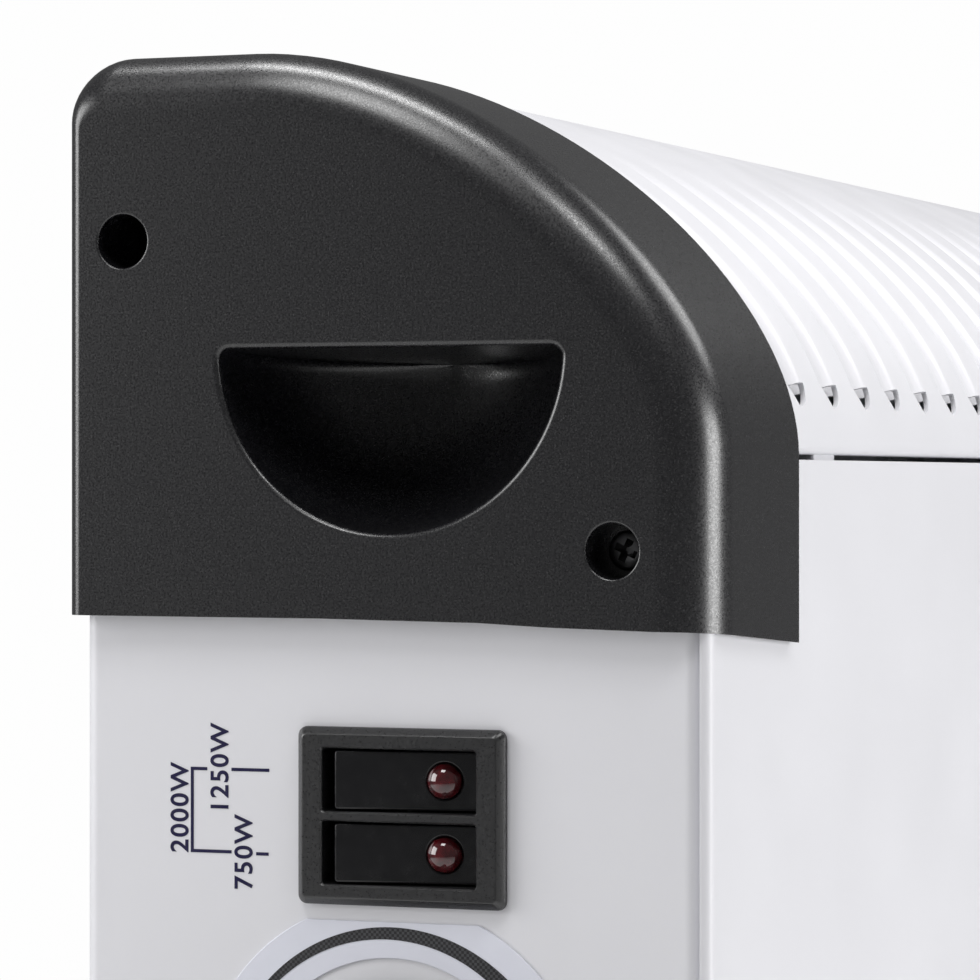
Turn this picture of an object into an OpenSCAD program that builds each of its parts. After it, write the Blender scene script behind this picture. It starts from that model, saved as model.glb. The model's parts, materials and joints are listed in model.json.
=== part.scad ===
// Panel convector heater, free standing, 2 kW.
// Length along X, front towards -Y, +Z up. The origin is on the floor, under the middle of the heater.
// The controls are at the -X end.

/* [Case] */
// Number of louvres in the outlet grille
louvre_count = 29; // [21:2:41]
// Distance from one louvre to the next
louvre_pitch = 16.2; // [14:0.1:18]
// From the end of the case to the first louvre
end_margin = 39.6; // [38:0.2:48]
// Depth of the case, front to back
case_d = 93.7; // [93:0.1:95]
// Height of the top of the end caps above the floor
case_top = 380.8; // [370:0.2:400]
// Gap between the floor and the case
ground_gap = 38; // [30:1:45]
// Thickness of the sheet steel
sheet = 0.8; // [0.6:0.1:0.8]
// Outer radius of the upright bends
bend_r = 2; // [1.6:0.1:2.2]

/* [End caps] */
// How far a cap reaches along the case from its own outer face
cap_len = 38; // [34:1:42]
// How far a cap's outer face stands out from the end of the case
cap_proud = 3; // [2.8:0.1:3.4]
// Wall of the cap where it laps over the grille
cap_wall = 1.2; // [1:0.1:1.25]
// Radius between the outer face and the curved flank
cap_fillet = 7.5; // [6.5:0.5:7.5]
// Radius of the half-round finger scoop
scoop_r = 26.2; // [22:0.1:26.6]
// Diameter of the two screw recesses
recess_d = 7.8; // [7:0.1:8]

/* [Switch] */
// Bezel size along Y
bezel_w = 31; // [30.8:0.1:33]
// Bezel size along Z
bezel_h = 24.7; // [24.2:0.1:26]
// Distance between the two rockers
rocker_pitch = 10.1; // [10:0.1:10.3]
// Width of a rocker, along Z
rocker_w = 8.1; // [7.8:0.1:8.2]
// Travel of a rocker, in degrees
rocker_travel = 16; // [12:1:18]
// Diameter of an indicator lens
lens_d = 4.8; // [4:0.1:5]

/* [Thermostat] */
// Radius of the knob's skirt
knob_r = 17.5; // [16:0.5:18]
// How far the knob stands out from the case
knob_proud = 20; // [18:1:24]
// Diameter of the shaft
shaft_d = 6; // [5:0.5:6]
// Outer radius of the dial label
label_r = 29.5; // [28:0.5:30]

/* [Feet] */
// Length of a foot, front to back
foot_len = 200; // [180:2:230]
// Width of a foot, along the case
foot_w = 42; // [38:1:50]
// From the end of the case to the middle of a foot
foot_inset = 95; // [85:1:110]

/* [Heating] */
// Diameter of a wound heating coil
coil_d = 6; // [5:0.5:6]
// Number of mica cards that carry the coils
card_count = 6; // [4:1:8]

/* [Hidden] */

$fn = 48;

// The case. The knob reaches past the cap, so the case sits off centre by half of that.
// It also stands a little behind the middle of the feet.
case_w = 2 * end_margin + (louvre_count - 1) * louvre_pitch;
case_mid = (knob_proud - cap_proud) / 2;
x_left = case_mid - case_w / 2;
x_right = case_mid + case_w / 2;
case_y = 0.55;
y_front = case_y - case_d / 2;
y_back = case_y + case_d / 2;
end_plate_top = case_top - 74.8;
seam_z = case_top - 56.8;
seam_gap = 0.8;
inner_step = 7;
flange_w = 10;
end_flange_w = 20;
return_w = 12;
hem_w = 7;
hem_r = 2 * sheet;
hem_top = end_plate_top - 5;
bend_clear = bend_r + 0.3;

// The curved flank of a cap, and of the grille under it: level at the top, then a cubic curve
// from top_y down to the front wall.
flank_y = y_front - cap_wall - 0.15;
top_y = y_front + 68.85;
curve_steps = 20;
curve_pts = [
    [top_y, case_top],
    [y_front + 37.15, case_top],
    [flank_y, case_top - 31.5],
    [flank_y, seam_z]
];
cap_back_y = y_back + 2.8;
cap_back_r = 8.5;
grille_inset = cap_wall + 0.1;

// Finger scoop, screw recesses
scoop_y = -0.35;
scoop_z = case_top - 41.85;
scoop_wall = 2;
scoop_slope = 4;
back_screw = [y_back - 7.35, case_top - 26.5];
front_screw = [y_front + 13.05, case_top - 69.7];
back_lug_x = 16;

// Switch
switch_y = -1.6;
switch_z = case_top - 106.6;
pivot_x = 4;
rocker_r = 11.1;
rocker_top = 4.6;
rocker_tilt = rocker_travel / 2;
slot_half_l = rocker_r + 0.35;
slot_half_w = rocker_w / 2 + 0.3;
housing_w = 29.6;
housing_h = 22;
housing_d = 17;
trunnion_d = 2.4;
lens_y = -5.5;
plunger_d = 2;
plunger_l = 8.8;
blade_x = 13.2;
blade_tilt = 5;
blade_t = 0.5;
knuckle_r = 0.7;

// Thermostat
dial_z = case_top - 147.6;
dial_hole_r = 21.5;
label_t = 0.3;
knob_gap = 1;
shaft_clear = 0.05;
knob_rest = 135;

// Wall hangers
hanger_spacing = 300;
hanger_z = 290;

// Cord gland
gland_y = 26;
gland_z = 66;
gland_bore_d = 7.4;

// Inside
partition_x = 50;
rail_y = 26;
rail_z = 60;
coil_start = 56;
coil_end = case_w - 70;
upper_row_z = 88;
lower_row_z = 72;
upper_rows = [-18, -6, 6, 18];
lower_rows = [-12, 12];
wire_r = 1.2;
bracket_z = 80;
earth_place = [28, 30];
cutout_y = -22;
cutout_z = 132;

// The tabs that line the grille up with the front sheet
tab_count = 4;
tab_from = 55;
tab_step = (case_w - 2 * tab_from) / (tab_count - 1);

// Where the wires meet the tabs of the switch and of the thermal cut-out
tab_x_end = housing_d + 8;
cutout_x_end = partition_x - 17;
out_y = switch_y - 8;

// ---------- helpers ----------

function bezier(p, t) =
    pow(1 - t, 3) * p[0] + 3 * t * pow(1 - t, 2) * p[1] + 3 * t * t * (1 - t) * p[2] + pow(t, 3) * p[3];

function bezier_dir(p, t) =
    pow(1 - t, 2) * (p[1] - p[0]) + 2 * t * (1 - t) * (p[2] - p[1]) + t * t * (p[3] - p[2]);

function unit(v) = v / norm(v);

// The flank curve from the top to the front wall, moved in by a distance
function flank(inset) = [
    for (i = [0 : curve_steps])
        let (t = i / curve_steps, d = unit(bezier_dir(curve_pts, t)))
        bezier(curve_pts, t) - inset * [d[1], -d[0]]
];

// A quarter of a circle from the back wall up to the top
function back_corner(cy, cz, r, steps) = [
    for (i = [0 : steps])
        let (a = 90 * i / steps)
        [cy + r * cos(a), cz + r * sin(a)]
];

// Closed outline of the room under the flank, from bottom_z up
function under_flank(inset, back_y, corner_r, bottom_z) = concat(
    [[back_y, bottom_z]],
    back_corner(back_y - corner_r, case_top - inset - corner_r, corner_r, 6),
    flank(inset),
    [[flank_y + inset, bottom_z]]
);

module along_x(x, length) {
    translate([x, 0, 0])
        rotate([90, 0, 90])
            linear_extrude(length)
                children();
}

module at_left() {
    translate([x_left, 0, 0])
        children();
}

module at_right() {
    translate([x_right, 0, 0])
        mirror([1, 0, 0])
            children();
}

module at_both_ends() {
    at_left()
        children();
    at_right()
        children();
}

// A cylinder along X at a place in Y and Z
module rod_x(x, y, z, r, length) {
    translate([x, y, z])
        rotate([0, 90, 0])
            cylinder(r = r, h = length);
}

module rod_y(x, y, z, r, length) {
    translate([x, y, z])
        rotate([-90, 0, 0])
            cylinder(r = r, h = length);
}

module rounded_rect(x0, x1, y0, y1, r) {
    translate([x0 + r, y0])
        square([x1 - x0 - 2 * r, y1 - y0]);
    translate([x0, y0 + r])
        square([x1 - x0, y1 - y0 - 2 * r]);
    for (x = [x0 + r, x1 - r], y = [y0 + r, y1 - r])
        translate([x, y])
            circle(r);
}

// A slotted hole along Z in a sheet that lies in the XZ plane
module slot_y(x, z, w, length, y, depth) {
    translate([x - w / 2, y, z - length / 2 + w / 2])
        cube([w, depth, length - w]);
    for (side = [-1, 1])
        rod_y(x, y, z + side * (length - w) / 2, w / 2, depth);
}

// ---------- case ----------

// Plan of the front sheet: flat, with each side edge folded double and rounded
module front_plan() {
    translate([x_left + hem_r, y_front])
        square([case_w - 2 * hem_r, sheet]);
    for (side = [0, 1])
        translate([side == 0 ? x_left : x_right, y_front])
            mirror([side, 0])
                intersection() {
                    square([hem_w, hem_r]);
                    union() {
                        translate([hem_r, hem_r])
                            circle(hem_r);
                        translate([hem_r, 0])
                            square([hem_w, hem_r]);
                    }
                }
}

module front_panel() color("white") {
    top_z = seam_z - seam_gap / 2;
    difference() {
        union() {
            translate([0, 0, ground_gap])
                linear_extrude(hem_top - ground_gap)
                    front_plan();
            translate([x_left + inner_step, y_front, hem_top - 1])
                cube([case_w - 2 * inner_step, sheet, top_z - hem_top + 1]);
            translate([x_left + inner_step + 1.2, y_front, top_z - sheet])
                cube([case_w - 2 * inner_step - 2.4, 8, sheet]);
            translate([x_left + end_flange_w + 1, y_front, ground_gap])
                cube([case_w - 2 * end_flange_w - 2, flange_w, sheet]);
        }
        for (i = [0 : tab_count - 1])
            translate([x_left + tab_from + i * tab_step - 6, y_front + sheet + 0.1, top_z - 3])
                cube([12, 1.2, 4]);
    }
}

// Plan of an end sheet: a channel with rounded bends, its flanges at the front and the back
module channel_plan() {
    difference() {
        rounded_rect(0, 2 * return_w, y_front + hem_r + 0.05, y_back, bend_r);
        rounded_rect(sheet, 2 * return_w, y_front + hem_r + 0.05 + sheet, y_back - sheet, bend_r - sheet);
        translate([return_w, -case_d])
            square(2 * case_d);
    }
}

// An end sheet of the case. Near the top it steps in, so that the cap sits over it.
module end_panel() {
    front_y = y_front + hem_r + sheet;
    difference() {
        union() {
            translate([0, 0, ground_gap])
                linear_extrude(end_plate_top - ground_gap)
                    channel_plan();
            translate([sheet - 0.3, front_y, ground_gap])
                cube([end_flange_w - sheet + 0.3, y_back - sheet - front_y, sheet]);
            translate([sheet - 0.3, front_y, end_plate_top - sheet])
                cube([inner_step + 0.3, y_back - sheet - front_y, sheet]);
            along_x(inner_step, sheet)
                polygon(under_flank(grille_inset + sheet + 0.1, y_back - 1.75, 4, end_plate_top - sheet));
        }
        rod_x(0, scoop_y, scoop_z, scoop_r + scoop_wall + 0.5, 20);
        translate([0, scoop_y - scoop_r - 2.5, scoop_z - 1])
            cube([20, 2 * scoop_r + 5, 6]);
        translate([0, back_screw[0] - 7, back_screw[1] - 9])
            cube([20, 40, 18]);
        rod_x(0, front_screw[0], front_screw[1], 1.5, 20);
    }
}

module end_panel_control() color("white")
    difference() {
        at_left()
            difference() {
                end_panel();
                translate([-1, switch_y - housing_w / 2 - 0.1, switch_z - housing_h / 2 - 0.1])
                    cube([4, housing_w + 0.2, housing_h + 0.2]);
                rod_x(-1, 0, dial_z, 5, 4);
                for (side = [-1, 1])
                    rod_x(-1, side * 14, dial_z, 2.1, 4);
                rod_x(-1, gland_y, gland_z, 8, 4);
            }
        case_screw_places()
            cylinder(r = 1.5, h = 6, center = true);
    }

module end_panel_plain() color("white")
    difference() {
        at_right()
            difference() {
                end_panel();
                rod_x(-1, 0, bracket_z, 1.5, 4);
            }
        case_screw_places()
            cylinder(r = 1.5, h = 6, center = true);
    }

module back_panel() color("white") {
    back_y = y_back - sheet - 0.05;
    difference() {
        union() {
            translate([x_left + bend_clear, back_y - sheet, ground_gap + 2 * sheet + 0.1])
                cube([case_w - 2 * bend_clear, sheet, end_plate_top - ground_gap - 3]);
            translate([x_left + back_lug_x, back_y - sheet, ground_gap + 2])
                cube([case_w - 2 * back_lug_x, sheet, case_top - 7.8 - ground_gap - 2]);
            at_both_ends()
                translate([back_lug_x, back_screw[0] - 7, back_screw[1] - 8])
                    cube([sheet, back_y - back_screw[0] + 7, 16]);
        }
        for (x = [x_left + 60 : 12 : x_right - 59], z = [75, 115])
            slot_y(x, z, 3.6, 30, back_y - 2, 4);
        for (side = [-1, 1])
            translate([case_mid + side * hanger_spacing / 2, 0, 0]) {
                rod_y(0, back_y - 2, hanger_z - 9, 5, 4);
                slot_y(0, hanger_z - 3, 5, 12, back_y - 2, 4);
            }
        at_both_ends()
            rod_x(0, back_screw[0], back_screw[1], 1.5, 30);
        case_screw_places()
            cylinder(r = 1.5, h = 6, center = true);
    }
}

// One side of the grille's sheet, from low_z over the top and down the back
function grille_skin(inset, low_z) = concat(
    [[flank_y + inset, low_z]],
    [for (i = [curve_steps - 1 : -1 : 0]) flank(inset)[i]],
    [
        for (i = [6 : -1 : 0])
            back_corner(y_back - 5.1, case_top - grille_inset - 5.1, 5.1 - (inset - grille_inset), 6)[i]
    ],
    [[y_back - (inset - grille_inset), case_top - 21]]
);

module outlet_grille() color("white") {
    low_z = seam_z + seam_gap / 2;
    lip_y = y_front + 6.4;
    outer = grille_skin(grille_inset, low_z);
    inner = grille_skin(grille_inset + sheet, low_z + sheet);
    difference() {
        union() {
            along_x(x_left + inner_step, case_w - 2 * inner_step)
                polygon(concat(
                    outer,
                    [for (i = [len(inner) - 1 : -1 : 0]) inner[i]],
                    [[lip_y, low_z + sheet], [lip_y, low_z]]
                ));
            for (i = [0 : tab_count - 1])
                translate([x_left + tab_from + i * tab_step - 5, y_front + sheet + 0.3, seam_z - 12])
                    cube([10, sheet, 13]);
        }
        for (i = [0 : louvre_count - 1])
            translate([x_left + end_margin + i * louvre_pitch, y_front - 5, seam_z + 7.2])
                cube([3.6, 42, 39.8]);
        at_both_ends()
            translate([inner_step - 1, y_front + 1.2, low_z - 1])
                cube([sheet + 1.2, lip_y - y_front, sheet + 1.1]);
        case_screw_places()
            cylinder(r = 1.5, h = 6, center = true);
    }
}

module bottom_grille() color("white") {
    plate_z = ground_gap + sheet;
    y0 = y_front + sheet + 0.3;
    y1 = y_back - 2 * sheet - 0.2;
    slot_from = x_left + foot_inset + foot_w / 2 + 10;
    slot_to = x_right - foot_inset - foot_w / 2 - 10;
    difference() {
        translate([x_left + return_w + 0.6, y0, plate_z])
            cube([case_w - 2 * return_w - 1.2, y1 - y0, 8]);
        translate([x_left, y0 + sheet, plate_z + sheet])
            cube([case_w, y1 - y0 - 2 * sheet, 10]);
        for (x = [slot_from : 10 : slot_to], y = [-34, 4])
            translate([x, y, plate_z - 1])
                cube([3.6, 30, 3]);
        foot_screw_places()
            cylinder(r = 2, h = 10, center = true);
        at_left()
            translate([earth_place[0], earth_place[1], plate_z])
                cylinder(r = 2.1, h = 6, center = true);
    }
}

// ---------- end caps ----------

// One cross-section of a cap's outside, moved in by inset, x away from the end of the case
function cap_ring(x, inset) =
    let (back_inset = inset * 3.5 / cap_fillet, corner_r = cap_back_r - inset * 0.7)
    concat(
        [[cap_back_y - back_inset, case_top - 79.2]],
        back_corner(cap_back_y - back_inset - corner_r, case_top - inset - corner_r, corner_r, 6),
        flank(inset),
        [[flank_y + inset, case_top - 80.5 - 2.6 * (x + cap_proud) / cap_len]],
        [[-14, case_top - 79.6 - 0.8 * (x + cap_proud) / cap_len]]
    );

module cap_outside() {
    steps = 6;
    rings = concat(
        [
            for (i = [0 : steps])
                let (a = 90 * i / steps)
                [cap_fillet * (1 - cos(a)) - cap_proud, cap_fillet * (1 - sin(a))]
        ],
        [[cap_len - cap_proud, 0]]
    );
    outlines = [for (r = rings) [for (p = cap_ring(r[0], r[1])) [r[0], p[0], p[1]]]];
    n = len(outlines[0]);
    last = len(rings) - 1;
    polyhedron(
        points = [for (o = outlines, p = o) p],
        faces = concat(
            [[for (k = [0 : n - 1]) k]],
            [[for (k = [n - 1 : -1 : 0]) last * n + k]],
            [
                for (i = [0 : last - 1], k = [0 : n - 1])
                    [i * n + k, (i + 1) * n + k, (i + 1) * n + (k + 1) % n]
            ],
            [
                for (i = [0 : last - 1], k = [0 : n - 1])
                    [i * n + k, (i + 1) * n + (k + 1) % n, i * n + (k + 1) % n]
            ]
        )
    );
}

// The room inside a cap, in steps that keep the wall under the fillet
module cap_room() {
    room_back = y_back + 0.25;
    low = case_top - 100;
    along_x(-0.5, 2.6)
        polygon(under_flank(cap_fillet, room_back - 6, 4, low));
    along_x(2, 4.1)
        polygon(under_flank(3.7, room_back - 3, 4, low));
    along_x(6, cap_len)
        polygon(under_flank(cap_wall, room_back, 5.3, low));
    translate([0, 0, low])
        linear_extrude(hem_top + 0.3 - low)
            rounded_rect(-0.1, cap_len, y_front - 0.1, room_back, hem_r + 0.1);
    translate([0, 0, low])
        linear_extrude(end_plate_top + 0.3 - low)
            rounded_rect(-0.25, cap_len, y_front + hem_r - 0.2, room_back, bend_r + 0.2);
}

module scoop_ball(r, lift) {
    translate([-cap_proud, scoop_y, scoop_z])
        difference() {
            sphere(r = r, $fn = 96);
            translate([0, 0, lift])
                rotate([0, scoop_slope, 0])
                    translate([-2 * r, -2 * r, 0])
                        cube(4 * r);
        }
}

module end_cap() {
    difference() {
        union() {
            difference() {
                cap_outside();
                cap_room();
            }
            difference() {
                scoop_ball(scoop_r + scoop_wall, scoop_wall);
                translate([-60, -100, 0])
                    cube([60 - cap_proud / 2, 200, 2 * case_top]);
            }
            rod_x(-cap_proud / 2, back_screw[0], back_screw[1], 5.2, back_lug_x + cap_proud / 2);
            rod_x(-cap_proud / 2, front_screw[0], front_screw[1], 5, inner_step + cap_proud / 2);
        }
        scoop_ball(scoop_r, 0);
        rod_x(-10, back_screw[0], back_screw[1], recess_d / 2, 8 + back_lug_x);
        rod_x(-10, front_screw[0], front_screw[1], recess_d / 2, 8 + inner_step);
        rod_x(0, back_screw[0], back_screw[1], 1.6, 30);
        rod_x(0, front_screw[0], front_screw[1], 1.6, 30);
    }
}

module end_cap_control() color([0.16, 0.16, 0.18])
    at_left()
        end_cap();

module end_cap_plain() color([0.16, 0.16, 0.18])
    at_right()
        end_cap();

// ---------- fasteners ----------

// A pan-head self-tapping screw along +Z, with the underside of its head at z = 0
module tapping_screw(head_r, head_h, shank_r, length) {
    difference() {
        translate([0, 0, -head_h])
            cylinder(r = head_r, h = head_h);
        for (a = [0, 90])
            rotate([0, 0, a])
                translate([-head_r * 0.55, -0.45, -head_h - 1])
                    cube([head_r * 1.1, 0.9, 2.2]);
    }
    cylinder(r = shank_r, h = length);
}

module cap_screws() color([0.1, 0.1, 0.1]) {
    at_both_ends() {
        translate([back_lug_x - 2, back_screw[0], back_screw[1]])
            rotate([0, 90, 0])
                tapping_screw(2.8, 2.4, 1.45, 9);
        translate([inner_step - 2, front_screw[0], front_screw[1]])
            rotate([25, 0, 0])
                rotate([0, 90, 0])
                    tapping_screw(2.8, 2.4, 1.45, 9);
    }
}

// Screws through the back: down both ends, and along the top where the grille's edge is held.
// One more, through the far end, holds the element bracket.
module case_screw_places() {
    for (x = [x_left + 6.5, x_right - 6.5], z = [60, 145, 230])
        translate([x, y_back, z])
            rotate([90, 0, 0])
                children();
    for (i = [0 : 3])
        translate([x_left + 60 + i * (case_w - 120) / 3, y_back, case_top - 15])
            rotate([90, 0, 0])
                children();
}

module case_screws() color("silver") {
    case_screw_places()
        tapping_screw(3.2, 2.2, 1.45, 8);
    at_right()
        translate([0, 0, bracket_z])
            rotate([0, 90, 0])
                tapping_screw(3.2, 2.2, 1.45, 8);
}

module foot_screw_places() {
    for (x = [x_left + foot_inset, x_right - foot_inset], y = [-30, 30])
        translate([x, y, ground_gap + sheet])
            children();
}

module foot_screws() color("silver")
    foot_screw_places()
        translate([0, 0, -5])
            tapping_screw(4, 3, 1.95, 12);

// ---------- feet ----------

// Side view of a foot: flat toes, an arch between them, and a swept rise to the case
function foot_side(in) = concat(
    [[foot_len / 2 - 28, in], [foot_len / 2 - 4, in], [foot_len / 2 - in, 4]],
    [
        for (i = [0 : 8])
            let (s = i / 8)
            [foot_len / 2 - 2 - 58 * s - in, 9 - in + (ground_gap - 9) * s * s]
    ]
);

module foot_outline(in) {
    right = foot_side(in);
    polygon(concat(
        [for (p = right) [p[0], p[1]]],
        [for (i = [len(right) - 1 : -1 : 0]) [-right[i][0], right[i][1]]],
        [[-(foot_len / 2 - 34), in + 5], [foot_len / 2 - 34, in + 5]]
    ));
}

module foot() {
    difference() {
        union() {
            along_x(-foot_w / 2, foot_w)
                foot_outline(0);
            for (y = [-30, 30])
                translate([0, y, 20])
                    cylinder(r = 6, h = ground_gap + sheet - 20);
        }
        difference() {
            translate([-foot_w / 2 + 2.5, -64, -1])
                cube([foot_w - 5, 128, ground_gap - 3]);
            for (y = [-30, 30])
                translate([0, y, ground_gap - 11])
                    cylinder(r = 7, h = 20);
            translate([-50, 0, 0])
                rotate([90, 0, 90])
                    linear_extrude(100)
                        difference() {
                            translate([-70, 0])
                                square([140, 60]);
                            foot_outline(3);
                        }
        }
        for (y = [-30, 30])
            translate([0, y, 0]) {
                cylinder(r = 2.3, h = 60);
                translate([0, 0, -1])
                    cylinder(r = 5, h = ground_gap - 4.2 + 1);
            }
    }
}

module foot_control() color([0.12, 0.12, 0.13])
    translate([x_left + foot_inset, 0, 0])
        foot();

module foot_plain() color([0.12, 0.12, 0.13])
    translate([x_right - foot_inset, 0, 0])
        foot();

// ---------- switch ----------

module at_switch() {
    at_left()
        translate([0, switch_y, switch_z])
            children();
}

module at_rocker(side) {
    at_switch()
        translate([pivot_x, 0, side * rocker_pitch / 2])
            rotate([0, 0, rocker_tilt])
                children();
}

module switch_housing() color([0.1, 0.1, 0.1])
    at_switch()
        difference() {
            union() {
                translate([-1.2, -bezel_w / 2, -bezel_h / 2])
                    cube([1.2, bezel_w, bezel_h]);
                translate([-2, -bezel_w / 2 + 1, -bezel_h / 2 + 1])
                    cube([2, bezel_w - 2, bezel_h - 2]);
                translate([-1, -housing_w / 2, -housing_h / 2])
                    cube([housing_d + 1, housing_w, housing_h]);
            }
            for (side = [-1, 1])
                translate([0, 0, side * rocker_pitch / 2]) {
                    translate([-3, -slot_half_l, -slot_half_w])
                        cube([housing_d + 1, 2 * slot_half_l, 2 * slot_half_w]);
                    translate([pivot_x, 0, -slot_half_w - 0.55])
                        cylinder(r = trunnion_d / 2 + 0.05, h = 2 * slot_half_w + 1.1);
                    for (y = [0, -8])
                        translate([housing_d - 4, y - 1.6, -3.3])
                            cube([8, 3.2, 6.6]);
                }
            translate([housing_d - 2, -1.6, -rocker_pitch / 2])
                cube([4, 3.2, rocker_pitch]);
        }

module rocker() {
    difference() {
        union() {
            intersection() {
                translate([0, 0, -rocker_w / 2])
                    cylinder(r = rocker_r, h = rocker_w, $fn = 96);
                translate([-rocker_top, -20, -20])
                    cube([rocker_top + 3, 40, 40]);
            }
            translate([0, 0, -slot_half_w - 0.5])
                cylinder(r = trunnion_d / 2, h = 2 * slot_half_w + 1);
        }
        rod_x(-rocker_top - 1, lens_y, 0, lens_d / 2 + 0.1, 3);
        rod_x(1, 0, 0, plunger_d / 2 + 0.05, 10);
    }
}

module lens()
    intersection() {
        rod_x(-rocker_top - 5, lens_y, 0, lens_d / 2, 6.9);
        translate([-rocker_top + 1.6, lens_y, 0])
            sphere(r = 3, $fn = 64);
    }

module plunger() {
    rod_x(1, 0, 0, plunger_d / 2, plunger_l - 2);
    translate([plunger_l - 1, 0, 0])
        sphere(r = plunger_d / 2 - 0.005);
}

// The see-saw blade: its round knuckle rocks on the common bar, its ends touch the tabs in turn
module contact(side)
    at_switch()
        translate([blade_x, 0, side * rocker_pitch / 2])
            rotate([0, 0, -blade_tilt]) {
                translate([-blade_t / 2, -7.5, -2])
                    cube([blade_t, 15, 4]);
                intersection() {
                    translate([0, 0, -2])
                        cylinder(r = knuckle_r, h = 4);
                    translate([0, -2, -3])
                        cube([2, 4, 6]);
                }
            }

module rocker_1250() color([0.08, 0.08, 0.08])
    at_rocker(1)
        rocker();

module rocker_750() color([0.08, 0.08, 0.08])
    at_rocker(-1)
        rocker();

module lens_1250() color([0.5, 0.02, 0.05])
    at_rocker(1)
        lens();

module lens_750() color([0.5, 0.02, 0.05])
    at_rocker(-1)
        lens();

module plunger_1250() color("silver")
    at_rocker(1)
        plunger();

module plunger_750() color("silver")
    at_rocker(-1)
        plunger();

module contact_1250() color("goldenrod")
    contact(1);

module contact_750() color("goldenrod")
    contact(-1);

// One common bar under both blades, and an outgoing tab at the front end of each
module switch_terminals() color("goldenrod")
    at_switch() {
        translate([housing_d - 3, -0.4, -rocker_pitch / 2 - 3])
            cube([3, 0.8, 6]);
        translate([housing_d - 3, -0.4, rocker_pitch / 2 - 3])
            cube([3, 0.8, 6]);
        translate([housing_d - 1.5, -0.4, -rocker_pitch / 2 - 3])
            cube([1.5, 0.8, rocker_pitch + 6]);
        translate([housing_d - 0.5, -0.4, -3])
            cube([8.5, 0.8, 6]);
        for (side = [-1, 1])
            translate([housing_d - 2, -8.4, side * rocker_pitch / 2 - 3])
                cube([10, 0.8, 6]);
    }

// ---------- thermostat ----------

module at_dial() {
    at_left()
        translate([0, 0, dial_z])
            children();
}

module dial_label() color([0.88, 0.88, 0.94])
    at_dial()
        difference() {
            rod_x(-label_t, 0, 0, label_r, label_t);
            rod_x(-1, 0, 0, dial_hole_r, 3);
            translate([-1, -50, label_r - 3])
                cube([3, 100, 20]);
        }

module thermostat_knob() color([0.08, 0.08, 0.08])
    at_dial()
        rotate([-knob_rest, 0, 0])
            difference() {
                union() {
                    translate([-knob_gap, 0, 0])
                        rotate([0, -90, 0])
                            cylinder(r1 = knob_r, r2 = knob_r - 1, h = 5);
                    translate([-knob_proud, -4, -11.5])
                        cube([knob_proud - knob_gap - 4, 8, 23]);
                    for (side = [-1, 1])
                        rod_x(-knob_proud, 0, side * 11.5, 4, knob_proud - knob_gap - 4);
                }
                intersection() {
                    rod_x(-14, 0, 0, shaft_d / 2 + shaft_clear, 20);
                    translate([-20, -10, -10])
                        cube([30, 12 + shaft_clear, 20]);
                }
                translate([-7, -0.6, 15.8])
                    cube([3, 1.2, 5]);
            }

module thermostat_shaft() color("silver")
    at_dial()
        rotate([-knob_rest, 0, 0])
            difference() {
                rod_x(-13.5, 0, 0, shaft_d / 2, 24);
                translate([-20, 2, -10])
                    cube([19, 20, 20]);
            }

module thermostat_body() color([0.75, 0.72, 0.65])
    at_dial()
        difference() {
            union() {
                translate([sheet, -17, -8])
                    cube([1.2, 34, 16]);
                translate([sheet + 1.2, -15, -15])
                    cube([18, 30, 30]);
                rod_x(-0.2, 0, 0, 4.9, sheet + 2);
                for (side = [-1, 1])
                    translate([15, side * 8 - 3, -24])
                        cube([0.8, 6, 9.5]);
            }
            rod_x(-1, 0, 0, shaft_d / 2 + shaft_clear, 12);
            for (side = [-1, 1])
                rod_x(-1, side * 14, 0, 1.7, 12);
        }

module thermostat_screws() color("silver")
    at_dial()
        for (side = [-1, 1])
            translate([0, side * 14, 0])
                rotate([0, 90, 0])
                    difference() {
                        union() {
                            translate([0, 0, -0.9])
                                cylinder(r = 3, h = 0.9);
                            cylinder(r = 1.65, h = 7);
                        }
                        translate([-2, -0.35, -2])
                            cube([4, 0.7, 1.5]);
                    }

// ---------- heating ----------

module half_ring(r) {
    rotate([0, 0, -90])
        rotate_extrude(angle = 180)
            translate([r, 0])
                circle(coil_d / 2);
}

module coil_1250() color([0.45, 0.42, 0.4])
    at_left() {
        for (i = [0, 3])
            rod_x(coil_start, upper_rows[i], upper_row_z, coil_d / 2, coil_end - coil_start);
        for (i = [1, 2])
            rod_x(coil_start + 10, upper_rows[i], upper_row_z, coil_d / 2, coil_end - coil_start - 10);
        for (y = [-12, 12])
            translate([coil_end, y, upper_row_z])
                half_ring(6);
        translate([coil_start + 10, 0, upper_row_z])
            mirror([1, 0, 0])
                half_ring(6);
    }

module coil_750() color([0.45, 0.42, 0.4])
    at_left() {
        for (y = lower_rows)
            rod_x(coil_start, y, lower_row_z, coil_d / 2, coil_end - coil_start);
        translate([coil_end, 0, lower_row_z])
            half_ring(12);
    }

module element_frame() color("silver") {
    from = partition_x + sheet;
    to = case_w - 43;
    at_left()
        difference() {
            union() {
                for (side = [-1, 1]) {
                    translate([from, side * (rail_y + sheet / 2) - sheet / 2, rail_z])
                        cube([to - from, sheet, 20]);
                    translate([from, side > 0 ? rail_y - 5 : -rail_y, rail_z])
                        cube([to - from, 5, sheet]);
                }
                for (x = [from, to - sheet])
                    translate([x, -rail_y - sheet, rail_z])
                        cube([sheet, 2 * (rail_y + sheet), 38]);
            }
            wire_holes(from - 1);
        }
}

module wire_holes(x) {
    for (y = [-18, 18])
        rod_x(x, y, upper_row_z, 3, 4);
    for (y = lower_rows)
        rod_x(x, y, lower_row_z, 3, 4);
}

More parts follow.
